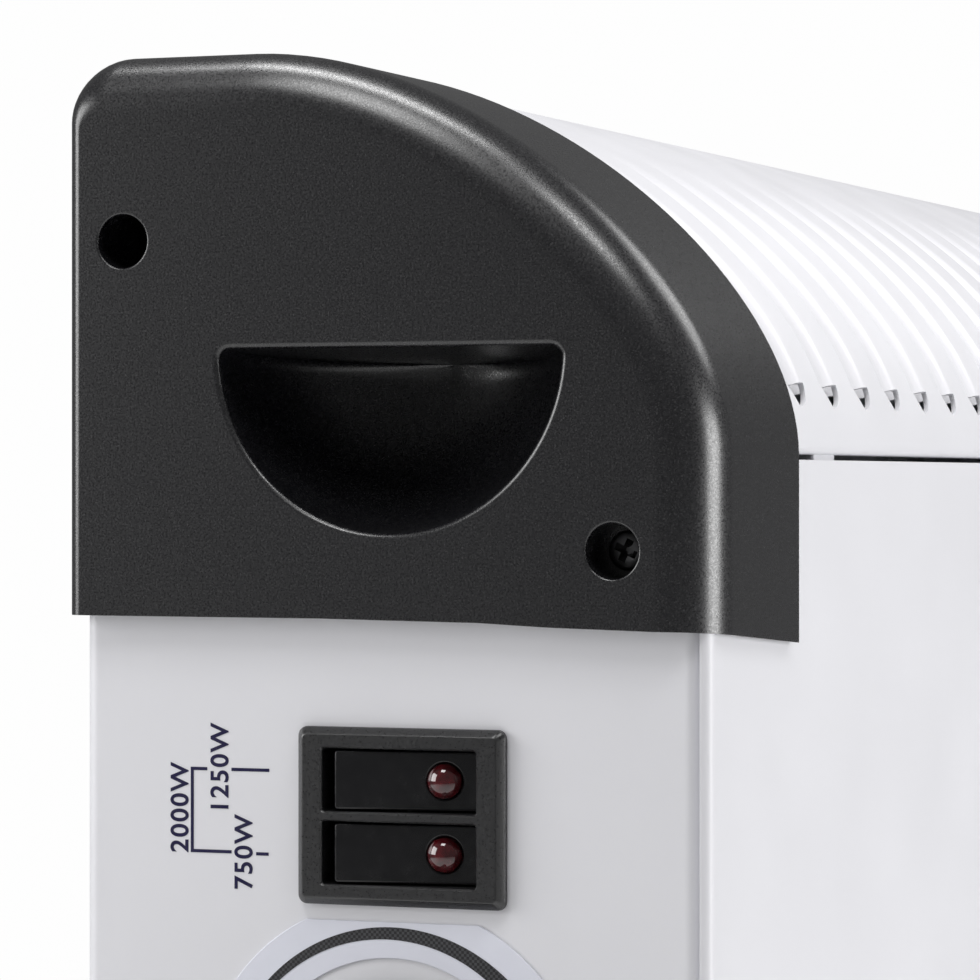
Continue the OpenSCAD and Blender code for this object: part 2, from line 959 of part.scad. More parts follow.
module mica_cards() color([0.7, 0.62, 0.5])
    at_left()
        for (i = [0 : card_count - 1])
            translate([80 + i * (case_w - 164) / (card_count - 1), 0, 0])
                difference() {
                    translate([0, -rail_y + 0.1, rail_z + sheet])
                        cube([0.8, 2 * rail_y - 0.2, 36]);
                    for (y = upper_rows)
                        rod_x(-1, y, upper_row_z, coil_d / 2 + 0.3, 4);
                    for (y = lower_rows)
                        rod_x(-1, y, lower_row_z, coil_d / 2 + 0.3, 4);
                }

// Holds the far end of the element frame to the far end of the case
module element_bracket() color("silver")
    at_right()
        difference() {
            union() {
                translate([sheet, -15, 66])
                    cube([1, 30, 26]);
                translate([sheet, -15, 66])
                    cube([43 - sheet, 30, 1]);
                translate([42, -15, 66])
                    cube([1, 30, 26]);
            }
            rod_x(-1, 0, bracket_z, 1.7, 5);
        }

// ---------- control compartment ----------

module control_partition() color("silver")
    at_left()
        difference() {
            union() {
                translate([partition_x, y_front + 2.3, ground_gap + 2 * sheet])
                    cube([sheet, case_d - 4.9, 278]);
                translate([partition_x - 10, y_front + 2.3, ground_gap + 2 * sheet])
                    cube([10, case_d - 4.9, sheet]);
            }
            wire_holes(partition_x - 1);
            rod_x(partition_x - 1, cutout_y, cutout_z, 6.5, 4);
        }

module thermal_cutout() color([0.85, 0.82, 0.75])
    at_left()
        translate([partition_x, cutout_y, cutout_z]) {
            rod_x(-10, 0, 0, 8.2, 9.2);
            translate([-0.8, -14, -4])
                cube([0.8, 28, 8]);
            rod_x(-0.01, 0, 0, 6.3, 2);
            for (side = [-1, 1])
                translate([-17, side * 5 - 0.4, -3])
                    cube([7.5, 0.8, 6]);
        }

module terminal_block() color([0.9, 0.88, 0.8])
    at_left()
        difference() {
            translate([partition_x - 14, 2, 104])
                cube([14, 36, 16]);
            for (y = [8, 20, 32])
                rod_x(partition_x - 15, y, 112, 2, 6);
        }

module earth_screw() color("silver")
    at_left()
        translate([earth_place[0], earth_place[1], ground_gap + 2 * sheet]) {
            cylinder(r = 4, h = 3.2, $fn = 6);
            translate([0, 0, -3])
                cylinder(r = 2, h = 8);
            translate([0, 0, -sheet - 2.2])
                cylinder(r = 3.5, h = 2.2);
        }

module air_baffle() color("silver")
    at_left()
        along_x(partition_x + 4, case_w - partition_x - 36)
            polygon([
                [34, 112], [34 + sheet, 112], [34 + sheet, 318], [43 + sheet, 350], [43 + sheet, 362],
                [43, 362], [43, 350.2], [34, 318.2]
            ]);

module cord_gland() color([0.1, 0.1, 0.1])
    at_left()
        translate([0, gland_y, gland_z])
            difference() {
                union() {
                    rod_x(-3, 0, 0, 10.5, 3);
                    rod_x(-3, 0, 0, 7.9, 16);
                    rod_x(sheet, 0, 0, 10.5, 5);
                }
                rod_x(-5, 0, 0, gland_bore_d / 2, 30);
            }

// ---------- wiring ----------

// Points on a smooth curve through the route, leaving and arriving along its first and last legs
function route_point(p, i, t) =
    let (
        a = p[max(i - 1, 0)],
        b = p[i],
        c = p[i + 1],
        d = p[min(i + 2, len(p) - 1)],
        out = i == 0 ? c - b : (c - a) / 2,
        in = i == len(p) - 2 ? c - b : (d - b) / 2
    )
    (2 * t * t * t - 3 * t * t + 1) * b + (t * t * t - 2 * t * t + t) * out
    + (3 * t * t - 2 * t * t * t) * c + (t * t * t - t * t) * in;

function smooth(p, steps) = concat(
    [for (i = [0 : len(p) - 2], k = [0 : steps - 1]) route_point(p, i, k / steps)],
    [p[len(p) - 1]]
);

function directions(p) =
    let (n = len(p))
    [
        for (i = [0 : n - 1])
            i == 0 ? unit(p[1] - p[0])
            : i == n - 1 ? unit(p[n - 1] - p[n - 2])
            : unit(p[i + 1] - p[i - 1])
    ];

// Side directions that don't twist from one ring to the next
function sideways(dirs, side, i = 0) =
    i == len(dirs) ? []
    : let (s = unit(side - dirs[i] * (side * dirs[i])))
      concat([s], sideways(dirs, s, i + 1));

// The first and last points are doubled up close, so that the ends are square to their legs
module wire(route) {
    sides = 8;
    path = smooth(route, 5);
    dirs = [
        for (i = [0 : len(path) - 1])
            i == 0 ? unit(route[1] - route[0])
            : i == len(path) - 1 ? unit(route[len(route) - 1] - route[len(route) - 2])
            : directions(path)[i]
    ];
    first_side = abs(dirs[0][0]) > 0.9 ? [0, 1, 0] : [1, 0, 0];
    across = sideways(dirs, first_side);
    n = len(path);
    points = [
        for (i = [0 : n - 1], k = [0 : sides - 1])
            let (a = 360 * k / sides)
            path[i] + wire_r * (cos(a) * across[i] + sin(a) * cross(dirs[i], across[i]))
    ];
    polyhedron(
        points = points,
        faces = concat(
            [[for (k = [0 : sides - 1]) k]],
            [[for (k = [sides - 1 : -1 : 0]) (n - 1) * sides + k]],
            [
                for (i = [0 : n - 2], k = [0 : sides - 1])
                    let (m = (k + 1) % sides)
                    [i * sides + k, (i + 1) * sides + k, (i + 1) * sides + m]
            ],
            [
                for (i = [0 : n - 2], k = [0 : sides - 1])
                    let (m = (k + 1) % sides)
                    [i * sides + k, (i + 1) * sides + m, i * sides + m]
            ]
        )
    );
}

// Supply through the cut-out, the thermostat and the switch to one end of each coil
module live_wires() color([0.4, 0.2, 0.08])
    at_left() {
        wire([[43, 8, 120], [43, 8, 128], [30, -2, 140], [22, -14, 137], [25, -17, 132], [cutout_x_end, -17, 132]]);
        wire([
            [cutout_x_end, -27, 132], [26, -27, 132], [18, -24, 150], [15.4, -10, 185],
            [15.4, -8, 200], [15.4, -8, dial_z - 24]
        ]);
        wire([
            [15.4, 8, dial_z - 24], [15.4, 8, 200], [26, 14, 190], [38, 22, 215],
            [41, 16, 250], [35, switch_y, switch_z], [tab_x_end, switch_y, switch_z]
        ]);
        wire([
            [tab_x_end, out_y, switch_z + rocker_pitch / 2], [34, out_y, switch_z + rocker_pitch / 2],
            [43, -18, 262], [43, -36, 225], [42, -39, 160], [42, -38, 112],
            [43, -24, 90], [48, -18, upper_row_z], [coil_start, -18, upper_row_z]
        ]);
        wire([
            [tab_x_end, out_y, switch_z - rocker_pitch / 2], [32, out_y, switch_z - rocker_pitch / 2],
            [36, -20, 250], [34, -36, 215], [33, -39, 160], [33, -38, 104],
            [36, -20, 78], [46, -12, lower_row_z], [coil_start, -12, lower_row_z]
        ]);
    }

// From the other end of each coil back to the terminal block
module neutral_wires() color([0.1, 0.25, 0.6])
    at_left() {
        wire([[41, 18, 104], [41, 18, 97], [49, 18, upper_row_z], [coil_start, 18, upper_row_z]]);
        wire([[41, 24, 104], [41, 24, 92], [42, 16, 76], [48, 12, lower_row_z], [coil_start, 12, lower_row_z]]);
    }

module earth_wire() color([0.45, 0.6, 0.1])
    at_left()
        wire([
            [43, 32, 120], [43, 32, 130], [32, 38, 128], [26, 38, 95],
            [26, 34, 62], [earth_place[0], earth_place[1], 52],
            [earth_place[0], earth_place[1], ground_gap + 2 * sheet + 5]
        ]);

// ---------- assembly ----------

front_panel();
end_panel_control();
end_panel_plain();
back_panel();
outlet_grille();
bottom_grille();
end_cap_control();
end_cap_plain();
cap_screws();
case_screws();
foot_control();
foot_plain();
foot_screws();
switch_housing();
rocker_1250();
rocker_750();
lens_1250();
lens_750();
plunger_1250();
plunger_750();
contact_1250();
contact_750();
switch_terminals();
dial_label();
thermostat_knob();
thermostat_shaft();
thermostat_body();
thermostat_screws();
coil_1250();
coil_750();
element_frame();
mica_cards();
element_bracket();
thermal_cutout();
terminal_block();
live_wires();
neutral_wires();
earth_wire();
earth_screw();
cord_gland();
control_partition();
air_baffle();
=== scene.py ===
"""Panel convector heater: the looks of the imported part.

The case's length runs along X with the controls at the -X end, and -Y is the front.
Shapes are drawn in millimetres, and make() scales them to metres. Lights and the camera are in metres.
"""
import json
import math

import bmesh
import bpy
from mathutils import Matrix, Vector

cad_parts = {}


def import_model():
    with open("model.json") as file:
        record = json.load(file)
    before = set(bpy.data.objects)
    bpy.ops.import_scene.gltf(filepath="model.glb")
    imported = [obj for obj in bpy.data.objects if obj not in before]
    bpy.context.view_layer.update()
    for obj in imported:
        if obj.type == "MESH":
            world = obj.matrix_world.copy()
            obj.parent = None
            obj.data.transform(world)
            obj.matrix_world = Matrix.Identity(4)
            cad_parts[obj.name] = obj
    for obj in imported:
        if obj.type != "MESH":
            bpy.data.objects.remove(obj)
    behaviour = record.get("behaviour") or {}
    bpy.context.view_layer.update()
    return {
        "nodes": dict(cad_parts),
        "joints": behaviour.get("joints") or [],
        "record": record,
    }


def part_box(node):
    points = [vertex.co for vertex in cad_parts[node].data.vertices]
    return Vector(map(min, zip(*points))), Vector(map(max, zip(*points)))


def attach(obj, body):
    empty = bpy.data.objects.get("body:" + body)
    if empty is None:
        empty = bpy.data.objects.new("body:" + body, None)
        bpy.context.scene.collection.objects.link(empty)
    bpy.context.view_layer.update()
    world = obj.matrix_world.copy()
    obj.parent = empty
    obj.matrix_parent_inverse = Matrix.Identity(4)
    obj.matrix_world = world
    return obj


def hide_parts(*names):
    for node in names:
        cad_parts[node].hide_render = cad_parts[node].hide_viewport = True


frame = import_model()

MM = 0.001

# ---------- places read from the frame, in millimetres ----------


def low(node):
    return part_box(node)[0] / MM


def high(node):
    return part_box(node)[1] / MM


X_LEFT = low("front_panel").x
X_RIGHT = high("front_panel").x
CASE_W = X_RIGHT - X_LEFT
Y_FRONT = low("front_panel").y
Y_BACK = high("end_panel_control").y
CASE_TOP = high("end_cap_control").z
CAP_PROUD = X_LEFT - low("end_cap_control").x
CAP_END = high("end_cap_control").x - X_LEFT
FLANK_Y = low("end_cap_control").y
CAP_BACK_Y = high("end_cap_control").y
JOINTS = {j["name"]: j for j in frame["joints"]}

# The flank's curve, as in the CAD: level at the top, then a cubic down to the front wall
TOP_Y = Y_FRONT + 68.85
SEAM_Z = CASE_TOP - 56.8
CURVE = [
    Vector((TOP_Y, CASE_TOP)), Vector((Y_FRONT + 37.15, CASE_TOP)),
    Vector((FLANK_Y, CASE_TOP - 31.5)), Vector((FLANK_Y, SEAM_Z)),
]
GRILLE_INSET = 1.3
SHEET = 0.8
INNER_STEP = 7
SCOOP_Y = -0.35
SCOOP_Z = CASE_TOP - 41.85
SCOOP_R = 26.2
RECESS_R = 3.9
BACK_SCREW = Vector((Y_BACK - 7.35, CASE_TOP - 26.5))
FRONT_SCREW = Vector((Y_FRONT + 13.05, CASE_TOP - 69.7))
BACK_LUG_X = 16


def bezier(t):
    a, b, c, d = CURVE
    s = 1 - t
    return s ** 3 * a + 3 * t * s * s * b + 3 * t * t * s * c + t ** 3 * d


def bezier_normal(t):
    a, b, c, d = CURVE
    s = 1 - t
    along = (s * s * (b - a) + 2 * t * s * (c - b) + t * t * (d - c)).normalized()
    return Vector((along.y, -along.x))


def flank_point(t, inset):
    """A point of the flank's curve, moved in. t is 0 at the top and 1 at the front wall."""
    return bezier(t) - inset * bezier_normal(t)


def smoothstep(t):
    t = min(max(t, 0), 1)
    return t * t * (3 - 2 * t)


# ---------- mesh tools ----------


def make(name, verts, faces, scale=MM):
    mesh = bpy.data.meshes.new(name)
    mesh.from_pydata([Vector(v) * scale for v in verts], [], faces)
    obj = bpy.data.objects.new(name, mesh)
    bpy.context.scene.collection.objects.link(obj)
    outward(obj)
    return obj


def outward(obj):
    bm = bmesh.new()
    bm.from_mesh(obj.data)
    bmesh.ops.remove_doubles(bm, verts=bm.verts, dist=2e-7)
    bmesh.ops.recalc_face_normals(bm, faces=bm.faces)
    bm.to_mesh(obj.data)
    bm.free()


def loft_data(rings, closed=True):
    """Verts and faces through rings of equal length, with both ends closed."""
    n = len(rings[0])
    verts = [v for ring in rings for v in ring]
    faces = []
    for i in range(len(rings) - 1):
        for k in range(n if closed else n - 1):
            m = (k + 1) % n
            faces.append((i * n + k, (i + 1) * n + k, (i + 1) * n + m, i * n + m))
    faces.append(tuple(range(n)))
    faces.append(tuple(reversed(range((len(rings) - 1) * n, len(rings) * n))))
    return verts, faces


def loft(name, rings):
    return make(name, *loft_data(rings))


def circle(radius, steps):
    turns = [2 * math.pi * k / steps for k in range(steps)]
    return [(radius * math.cos(a), radius * math.sin(a)) for a in turns]


def lathe_data(profile, steps, place):
    """A solid of revolution. profile is (along, radius) pairs, place maps (along, a, b) to a point."""
    return loft_data([[place(along, a, b) for a, b in circle(radius, steps)] for along, radius in profile])


def join(name, parts):
    """One object from several (verts, faces) pairs."""
    verts, faces = [], []
    for v, f in parts:
        base = len(verts)
        verts += v
        faces += [tuple(i + base for i in face) for face in f]
    return make(name, verts, faces)


def bake(obj):
    """Applies the object's modifiers to its mesh."""
    bpy.context.view_layer.update()
    graph = bpy.context.evaluated_depsgraph_get()
    mesh = bpy.data.meshes.new_from_object(obj.evaluated_get(graph))
    obj.modifiers.clear()
    obj.data = mesh
    return obj


def combine(obj, cutter, operation):
    modifier = obj.modifiers.new("combine", "BOOLEAN")
    modifier.operation = operation
    modifier.solver = "EXACT"
    modifier.object = cutter
    bake(obj)
    bpy.data.objects.remove(cutter)
    return obj


def bevel(obj, width, segments=2, angle=35):
    modifier = obj.modifiers.new("bevel", "BEVEL")
    modifier.width = width * MM
    modifier.segments = segments
    modifier.limit_method = "ANGLE"
    modifier.angle_limit = math.radians(angle)
    modifier.use_clamp_overlap = True
    modifier.miter_outer = "MITER_ARC"
    return obj


def smooth(obj, angle=35):
    obj.data.shade_smooth()
    obj.data.set_sharp_from_angle(angle=math.radians(angle))
    return obj


def weigh(obj):
    modifier = obj.modifiers.new("weights", "WEIGHTED_NORMAL")
    modifier.keep_sharp = True
    return obj


def finish_piece(obj, material, body, slot, *replaced):
    obj.data.materials.clear()
    obj.data.materials.append(material)
    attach(obj, body)
    if replaced:
        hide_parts(*replaced)
    return obj


def rounded_rect(half_a, half_b, r, steps=6):
    points = []
    for ca, cb, start in ((1, 1, 0), (-1, 1, 90), (-1, -1, 180), (1, -1, 270)):
        for k in range(steps + 1):
            a = math.radians(start + 90 * k / steps)
            points.append((ca * (half_a - r) + r * math.cos(a), cb * (half_b - r) + r * math.sin(a)))
    return points


# ---------- materials ----------


def new_material(name, base, roughness, metallic=0.0, specular=0.5):
    material = bpy.data.materials.new(name)
    material.use_nodes = True
    nodes = material.node_tree.nodes
    shader = nodes["Principled BSDF"]
    shader.inputs["Base Color"].default_value = (*base, 1)
    shader.inputs["Roughness"].default_value = roughness
    shader.inputs["Metallic"].default_value = metallic
    shader.inputs["Specular IOR Level"].default_value = specular
    return material, material.node_tree, shader


def coordinates(tree):
    return tree.nodes.new("ShaderNodeTexCoord").outputs["Object"]


def noise(tree, scale, detail=2.0, roughness=0.5, stretch=None):
    node = tree.nodes.new("ShaderNodeTexNoise")
    node.inputs["Scale"].default_value = scale
    node.inputs["Detail"].default_value = detail
    node.inputs["Roughness"].default_value = roughness
    source = coordinates(tree)
    if stretch:
        mapping = tree.nodes.new("ShaderNodeMapping")
        mapping.inputs["Scale"].default_value = stretch
        tree.links.new(source, mapping.inputs["Vector"])
        source = mapping.outputs["Vector"]
    tree.links.new(source, node.inputs["Vector"])
    return node.outputs["Fac"]


def ramp(tree, source, stops):
    node = tree.nodes.new("ShaderNodeValToRGB")
    elements = node.color_ramp.elements
    while len(elements) < len(stops):
        elements.new(0.5)
    for element, (position, colour) in zip(elements, stops):
        element.position = position
        element.color = (*colour, 1)
    tree.links.new(source, node.inputs["Fac"])
    return node.outputs["Color"]


def spread(tree, source, lowest, highest, from_low=0.3, from_high=0.7):
    node = tree.nodes.new("ShaderNodeMapRange")
    node.inputs["From Min"].default_value = from_low
    node.inputs["From Max"].default_value = from_high
    node.inputs["To Min"].default_value = lowest
    node.inputs["To Max"].default_value = highest
    tree.links.new(source, node.inputs["Value"])
    return node.outputs["Result"]


def bump(tree, shader, height, strength, distance, after=None):
    node = tree.nodes.new("ShaderNodeBump")
    node.inputs["Strength"].default_value = strength
    node.inputs["Distance"].default_value = distance
    tree.links.new(height, node.inputs["Height"])
    if after:
        tree.links.new(after, node.inputs["Normal"])
    tree.links.new(node.outputs["Normal"], shader.inputs["Normal"])
    return node.outputs["Normal"]


def varied(tree, shader, base, amount, scale):
    """A slow drift of the base colour by a share of itself."""
    darker = tuple(c * (1 - amount) for c in base)
    lighter = tuple(min(c * (1 + amount), 1) for c in base)
    colour = ramp(tree, noise(tree, scale, 3), [(0.3, darker), (0.7, lighter)])
    tree.links.new(colour, shader.inputs["Base Color"])
    return colour


def powder_coat(name, base=(0.77, 0.768, 0.80)):
    material, tree, shader = new_material(name, base, 0.38)
    varied(tree, shader, base, 0.012, 25)
    tree.links.new(spread(tree, noise(tree, 60, 3), 0.34, 0.42), shader.inputs["Roughness"])
    peel = bump(tree, shader, noise(tree, 900, 2), 0.05, 0.00008)
    bump(tree, shader, noise(tree, 4200, 1), 0.04, 0.00003, peel)
    return material


# Brightness of the painted glint specks: light spots put into the plastics' base colour.
GLINT_SPECK_GAIN = 0.04


def grained_plastic(name, base=(0.0032, 0.0031, 0.0046), roughness=0.32, grain=1.0):
    """Moulded plastic with a spark-eroded grain and a few bright specks painted into its base colour as
    glints.
    """
    material, tree, shader = new_material(name, base, roughness, specular=0.9)
    voronoi = tree.nodes.new("ShaderNodeTexVoronoi")
    voronoi.inputs["Scale"].default_value = 4200
    tree.links.new(coordinates(tree), voronoi.inputs["Vector"])
    # Painted glints: bright specks in the base colour where light would sparkle, scaled by grain along with
    # the bump.
    glint_speck = tuple(c + GLINT_SPECK_GAIN * grain for c in base)
    colour = ramp(tree, noise(tree, 4600, 1), [(0.56, base), (0.74, glint_speck)])
    tree.links.new(colour, shader.inputs["Base Color"])
    tree.links.new(spread(tree, noise(tree, 3400, 2), roughness - 0.1, roughness + 0.06),
                   shader.inputs["Roughness"])
    coarse = bump(tree, shader, voronoi.outputs["Distance"], 0.08 * grain, 0.00003)
    bump(tree, shader, noise(tree, 3800, 2, 0.5), 0.22 * grain, 0.00004, coarse)
    return material


def gloss_plastic(name, base, roughness=0.16, drift=0.1):
    material, tree, shader = new_material(name, base, roughness)
    varied(tree, shader, base, drift, 300)
    tree.links.new(spread(tree, noise(tree, 500, 3), roughness * 0.8, roughness * 1.3),
                   shader.inputs["Roughness"])
    bump(tree, shader, noise(tree, 1500, 2), 0.05, 0.00004)
    return material


def lens_material():
    material, tree, shader = new_material("red_lens", (0.06, 0.003, 0.005), 0.06)
    shader.inputs["Coat Weight"].default_value = 1.0
    shader.inputs["Coat Roughness"].default_value = 0.03
    shader.inputs["IOR"].default_value = 1.49
    colour = ramp(tree, noise(tree, 900, 2), [(0.35, (0.035, 0.0015, 0.003)), (0.7, (0.085, 0.004, 0.007))])
    tree.links.new(colour, shader.inputs["Base Color"])
    bump(tree, shader, noise(tree, 2500, 1), 0.03, 0.00003)
    return material


def metal(name, base, roughness, grain=(1, 1, 1), scale=900):
    material, tree, shader = new_material(name, base, roughness, metallic=1.0)
    varied(tree, shader, base, 0.1, 120)
    tree.links.new(spread(tree, noise(tree, scale, 3, stretch=grain), roughness * 0.7, roughness * 1.35),
                   shader.inputs["Roughness"])
    bump(tree, shader, noise(tree, scale * 2, 2, stretch=grain), 0.08, 0.00004)
    return material


def galvanised():
    """Zinc spangle: flat crystals of slightly different grey."""
    material, tree, shader = new_material("galvanised_steel", (0.6, 0.62, 0.64), 0.4, metallic=1.0)
    voronoi = tree.nodes.new("ShaderNodeTexVoronoi")
    voronoi.inputs["Scale"].default_value = 130
    tree.links.new(coordinates(tree), voronoi.inputs["Vector"])
    spangle = ramp(tree, voronoi.outputs["Color"], [(0.2, (0.5, 0.52, 0.54)), (0.8, (0.72, 0.73, 0.75))])
    tree.links.new(spangle, shader.inputs["Base Color"])
    tree.links.new(spread(tree, voronoi.outputs["Color"], 0.3, 0.5, 0, 1), shader.inputs["Roughness"])
    bump(tree, shader, noise(tree, 700, 3), 0.06, 0.00005)
    return material


def matt(name, base, roughness=0.7, scale=700, strength=0.2):
    material, tree, shader = new_material(name, base, roughness, specular=0.35)
    varied(tree, shader, base, 0.12, scale / 4)
    tree.links.new(spread(tree, noise(tree, scale, 3), roughness - 0.1, roughness + 0.1),
                   shader.inputs["Roughness"])
    bump(tree, shader, noise(tree, scale * 3, 2), strength, 0.00008)
    return material


def mica():
    material, tree, shader = new_material("mica", (0.55, 0.46, 0.33), 0.35)
    flakes = tree.nodes.new("ShaderNodeTexVoronoi")
    flakes.inputs["Scale"].default_value = 600
    tree.links.new(coordinates(tree), flakes.inputs["Vector"])
    colour = ramp(tree, flakes.outputs["Color"], [(0.2, (0.42, 0.34, 0.23)), (0.8, (0.68, 0.6, 0.45))])
    tree.links.new(colour, shader.inputs["Base Color"])
    bump(tree, shader, flakes.outputs["Distance"], 0.2, 0.00008)
    return material


def striped_insulation():
    """Green with yellow bands, as on an earth wire."""
    material, tree, shader = new_material("earth_insulation", (0.1, 0.35, 0.06), 0.45)
    wave = tree.nodes.new("ShaderNodeTexWave")
    wave.bands_direction = "Z"
    wave.inputs["Scale"].default_value = 90
    wave.inputs["Distortion"].default_value = 1.5
    tree.links.new(coordinates(tree), wave.inputs["Vector"])
    colour = ramp(tree, wave.outputs["Fac"], [(0.48, (0.06, 0.28, 0.04)), (0.56, (0.75, 0.62, 0.04))])
    tree.links.new(colour, shader.inputs["Base Color"])
    bump(tree, shader, noise(tree, 1200, 2), 0.05, 0.00004)
    return material


LOOKS = {
    "white_enamel": powder_coat("white_enamel"),
    "galvanised_steel": galvanised(),
    "cap_plastic": grained_plastic("cap_plastic"),
    "foot_plastic": grained_plastic("foot_plastic", (0.016, 0.016, 0.019), 0.5),
    "zinc_screw": metal("zinc_screw", (0.7, 0.71, 0.73), 0.3),
    "black_screw": metal("black_screw", (0.17, 0.17, 0.175), 0.36),
    "bezel_plastic": grained_plastic("bezel_plastic", (0.008, 0.008, 0.009), 0.36, 0.25),
    "rocker_plastic": gloss_plastic("rocker_plastic", (0.007, 0.007, 0.008), 0.22),
    "red_lens": lens_material(),
    "plunger_steel": metal("plunger_steel", (0.7, 0.7, 0.7), 0.25),
    "contact_brass": metal("contact_brass", (0.72, 0.5, 0.2), 0.3),
    "label_print": gloss_plastic("label_print", (0.75, 0.76, 0.84), 0.4, 0.008),
    "knob_plastic": grained_plastic("knob_plastic", (0.012, 0.012, 0.013), 0.38, 0.4),
    "thermostat_ceramic": matt("thermostat_ceramic", (0.72, 0.68, 0.6)),
    "heating_wire": metal("heating_wire", (0.3, 0.27, 0.25), 0.5),
    "mica": mica(),
    "terminal_ceramic": matt("terminal_ceramic", (0.82, 0.79, 0.71)),
    "brown_insulation": matt("brown_insulation", (0.16, 0.06, 0.025), 0.45, 900, 0.05),
    "blue_insulation": matt("blue_insulation", (0.03, 0.1, 0.38), 0.45, 900, 0.05),
    "earth_insulation": striped_insulation(),
    "gland_plastic": grained_plastic("gland_plastic", (0.014, 0.014, 0.015), 0.45, 0.5),
}
SLOT_OF = {s["node"]: s["material_slot"] for s in frame["record"]["subparts"]}
BEVELS = {
    "front_panel": 0.3, "end_panel_control": 0.3, "end_panel_plain": 0.3,
    "back_panel": 0.2, "bottom_grille": 0.2, "foot_control": 1.0, "foot_plain": 1.0,
    "element_frame": 0.2, "element_bracket": 0.2, "mica_cards": 0.1,
    "terminal_block": 0.6, "thermal_cutout": 0.4, "thermostat_body": 0.5, "cord_gland": 0.4,
    "control_partition": 0.2, "air_baffle": 0.2, "switch_terminals": 0.12, "contact_1250": 0.1,
    "contact_750": 0.1, "earth_screw": 0.25, "thermostat_screws": 0.15, "thermostat_shaft": 0.3,
}


def dress_cad_nodes():
    for name, obj in frame["nodes"].items():
        obj.data.materials.clear()
        obj.data.materials.append(LOOKS[SLOT_OF[name]])
        smooth(obj, 30)
        if name in BEVELS:
            bevel(obj, BEVELS[name], 2, 40)
            weigh(obj)


dress_cad_nodes()

# ---------- outlet grille ----------

# Each louvre is a slit from SLIT_TOP_Y down to a step at STEP_Z. The sheet right of it is pressed in by
# up to PRESS_DEPTH, fading over PRESS_WIDTH. A teardrop hole runs from the step down to TIP_Z.
LOUVRE_COUNT = 29
LOUVRE_PITCH = 16.2
FIRST_LOUVRE = 39.6
SLIT_GAP = 0.12
PRESS_RUN = 42
PRESS_DEPTH = 4.8
PRESS_WIDTH = 7.0
HOLE_WIDTH = 8.2
HOLE_TIP = 3.6
STEP_Z = SEAM_Z + 10.8
TIP_Z = SEAM_Z + 7.2
SLIT_TOP_Y = Y_FRONT + 36
LIP_Y = Y_FRONT + 6.4
LIP_R = 1.2
LIP_BAND = 2
GRILLE_BACK_R = 5.1


def grille_profile():
    """Points of the grille's outer side from the front lip over the top to the back, with outward normals."""
    wall_y = FLANK_Y + GRILLE_INSET
    lip_z = SEAM_Z + 0.4
    rows = [(Vector((LIP_Y, lip_z)), Vector((0, -1)))]
    rows.append((Vector((wall_y + LIP_R + 1.5, lip_z)), Vector((0, -1))))
    for k in range(7):
        a = math.radians(90 * k / 6)
        normal = Vector((-math.sin(a), -math.cos(a)))
        rows.append((Vector((wall_y + LIP_R, lip_z + LIP_R)) + LIP_R * normal, normal))
    steps = 96
    for k in range(steps, -1, -1):
        t = k / steps
        point = flank_point(t, GRILLE_INSET)
        if point.y > lip_z + LIP_R + 0.3:
            rows.append((point, bezier_normal(t)))
    top_z = CASE_TOP - GRILLE_INSET
    for y in (TOP_Y + 6, TOP_Y + 12):
        rows.append((Vector((y, top_z)), Vector((0, 1))))
    for k in range(9):
        a = math.radians(90 - 90 * k / 8)
        normal = Vector((math.cos(a), math.sin(a)))
        centre = Vector((Y_BACK - GRILLE_BACK_R, top_z - GRILLE_BACK_R))
        rows.append((centre + GRILLE_BACK_R * normal, normal))
    for z in (CASE_TOP - 12, CASE_TOP - 21):
        rows.append((Vector((Y_BACK, z)), Vector((1, 0))))
    return rows


def press_share(point):
    """How far the blade is pressed in along a slit: full above the step, easing out at the top."""
    return smoothstep((SLIT_TOP_Y - point.x) / PRESS_RUN) ** 0.75


def hole_edges(z):
    """Left and right edge of the teardrop under a blade, from the slit's line."""
    share = (STEP_Z - z) / (STEP_Z - TIP_Z)
    left = HOLE_TIP * share
    right = HOLE_TIP + (HOLE_WIDTH - HOLE_TIP) * math.sqrt(max(1 - share ** 1.8, 0))
    return left, right


PRESS_COLUMNS = [0, 0.6, 1.3, 2.0, 2.7, 3.3, 4.1, 4.9, 5.8, 6.6, 7.4, 8.2, 8.9, 10, 12, 14, 15.2]
FIRST_KEPT = PRESS_COLUMNS.index(HOLE_WIDTH)


def insert_rows(rows):
    """Adds rows exactly at the tip and the step of the teardrops, and finer ones between them."""
    kept = [r for r in rows if not (TIP_Z - 0.2 < r[0].y < STEP_Z + 0.3 and r[0].x < 0)]
    for k in range(9):
        z = TIP_Z + (STEP_Z - TIP_Z) * k / 8
        t0, t1 = 0.6, 1.0
        for _ in range(40):
            t = (t0 + t1) / 2
            if flank_point(t, GRILLE_INSET).y > z:
                t0 = t
            else:
                t1 = t
        kept.append((flank_point(t0, GRILLE_INSET), bezier_normal(t0)))
    lip = [r for r in kept if r[0].y <= SEAM_Z + LIP_BAND]
    front = [r for r in kept if r[0].x < TOP_Y and r[0].y > SEAM_Z + LIP_BAND]
    rest = [r for r in kept if r[0].x >= TOP_Y]
    return lip + sorted(front, key=lambda r: r[0].x + r[0].y) + rest


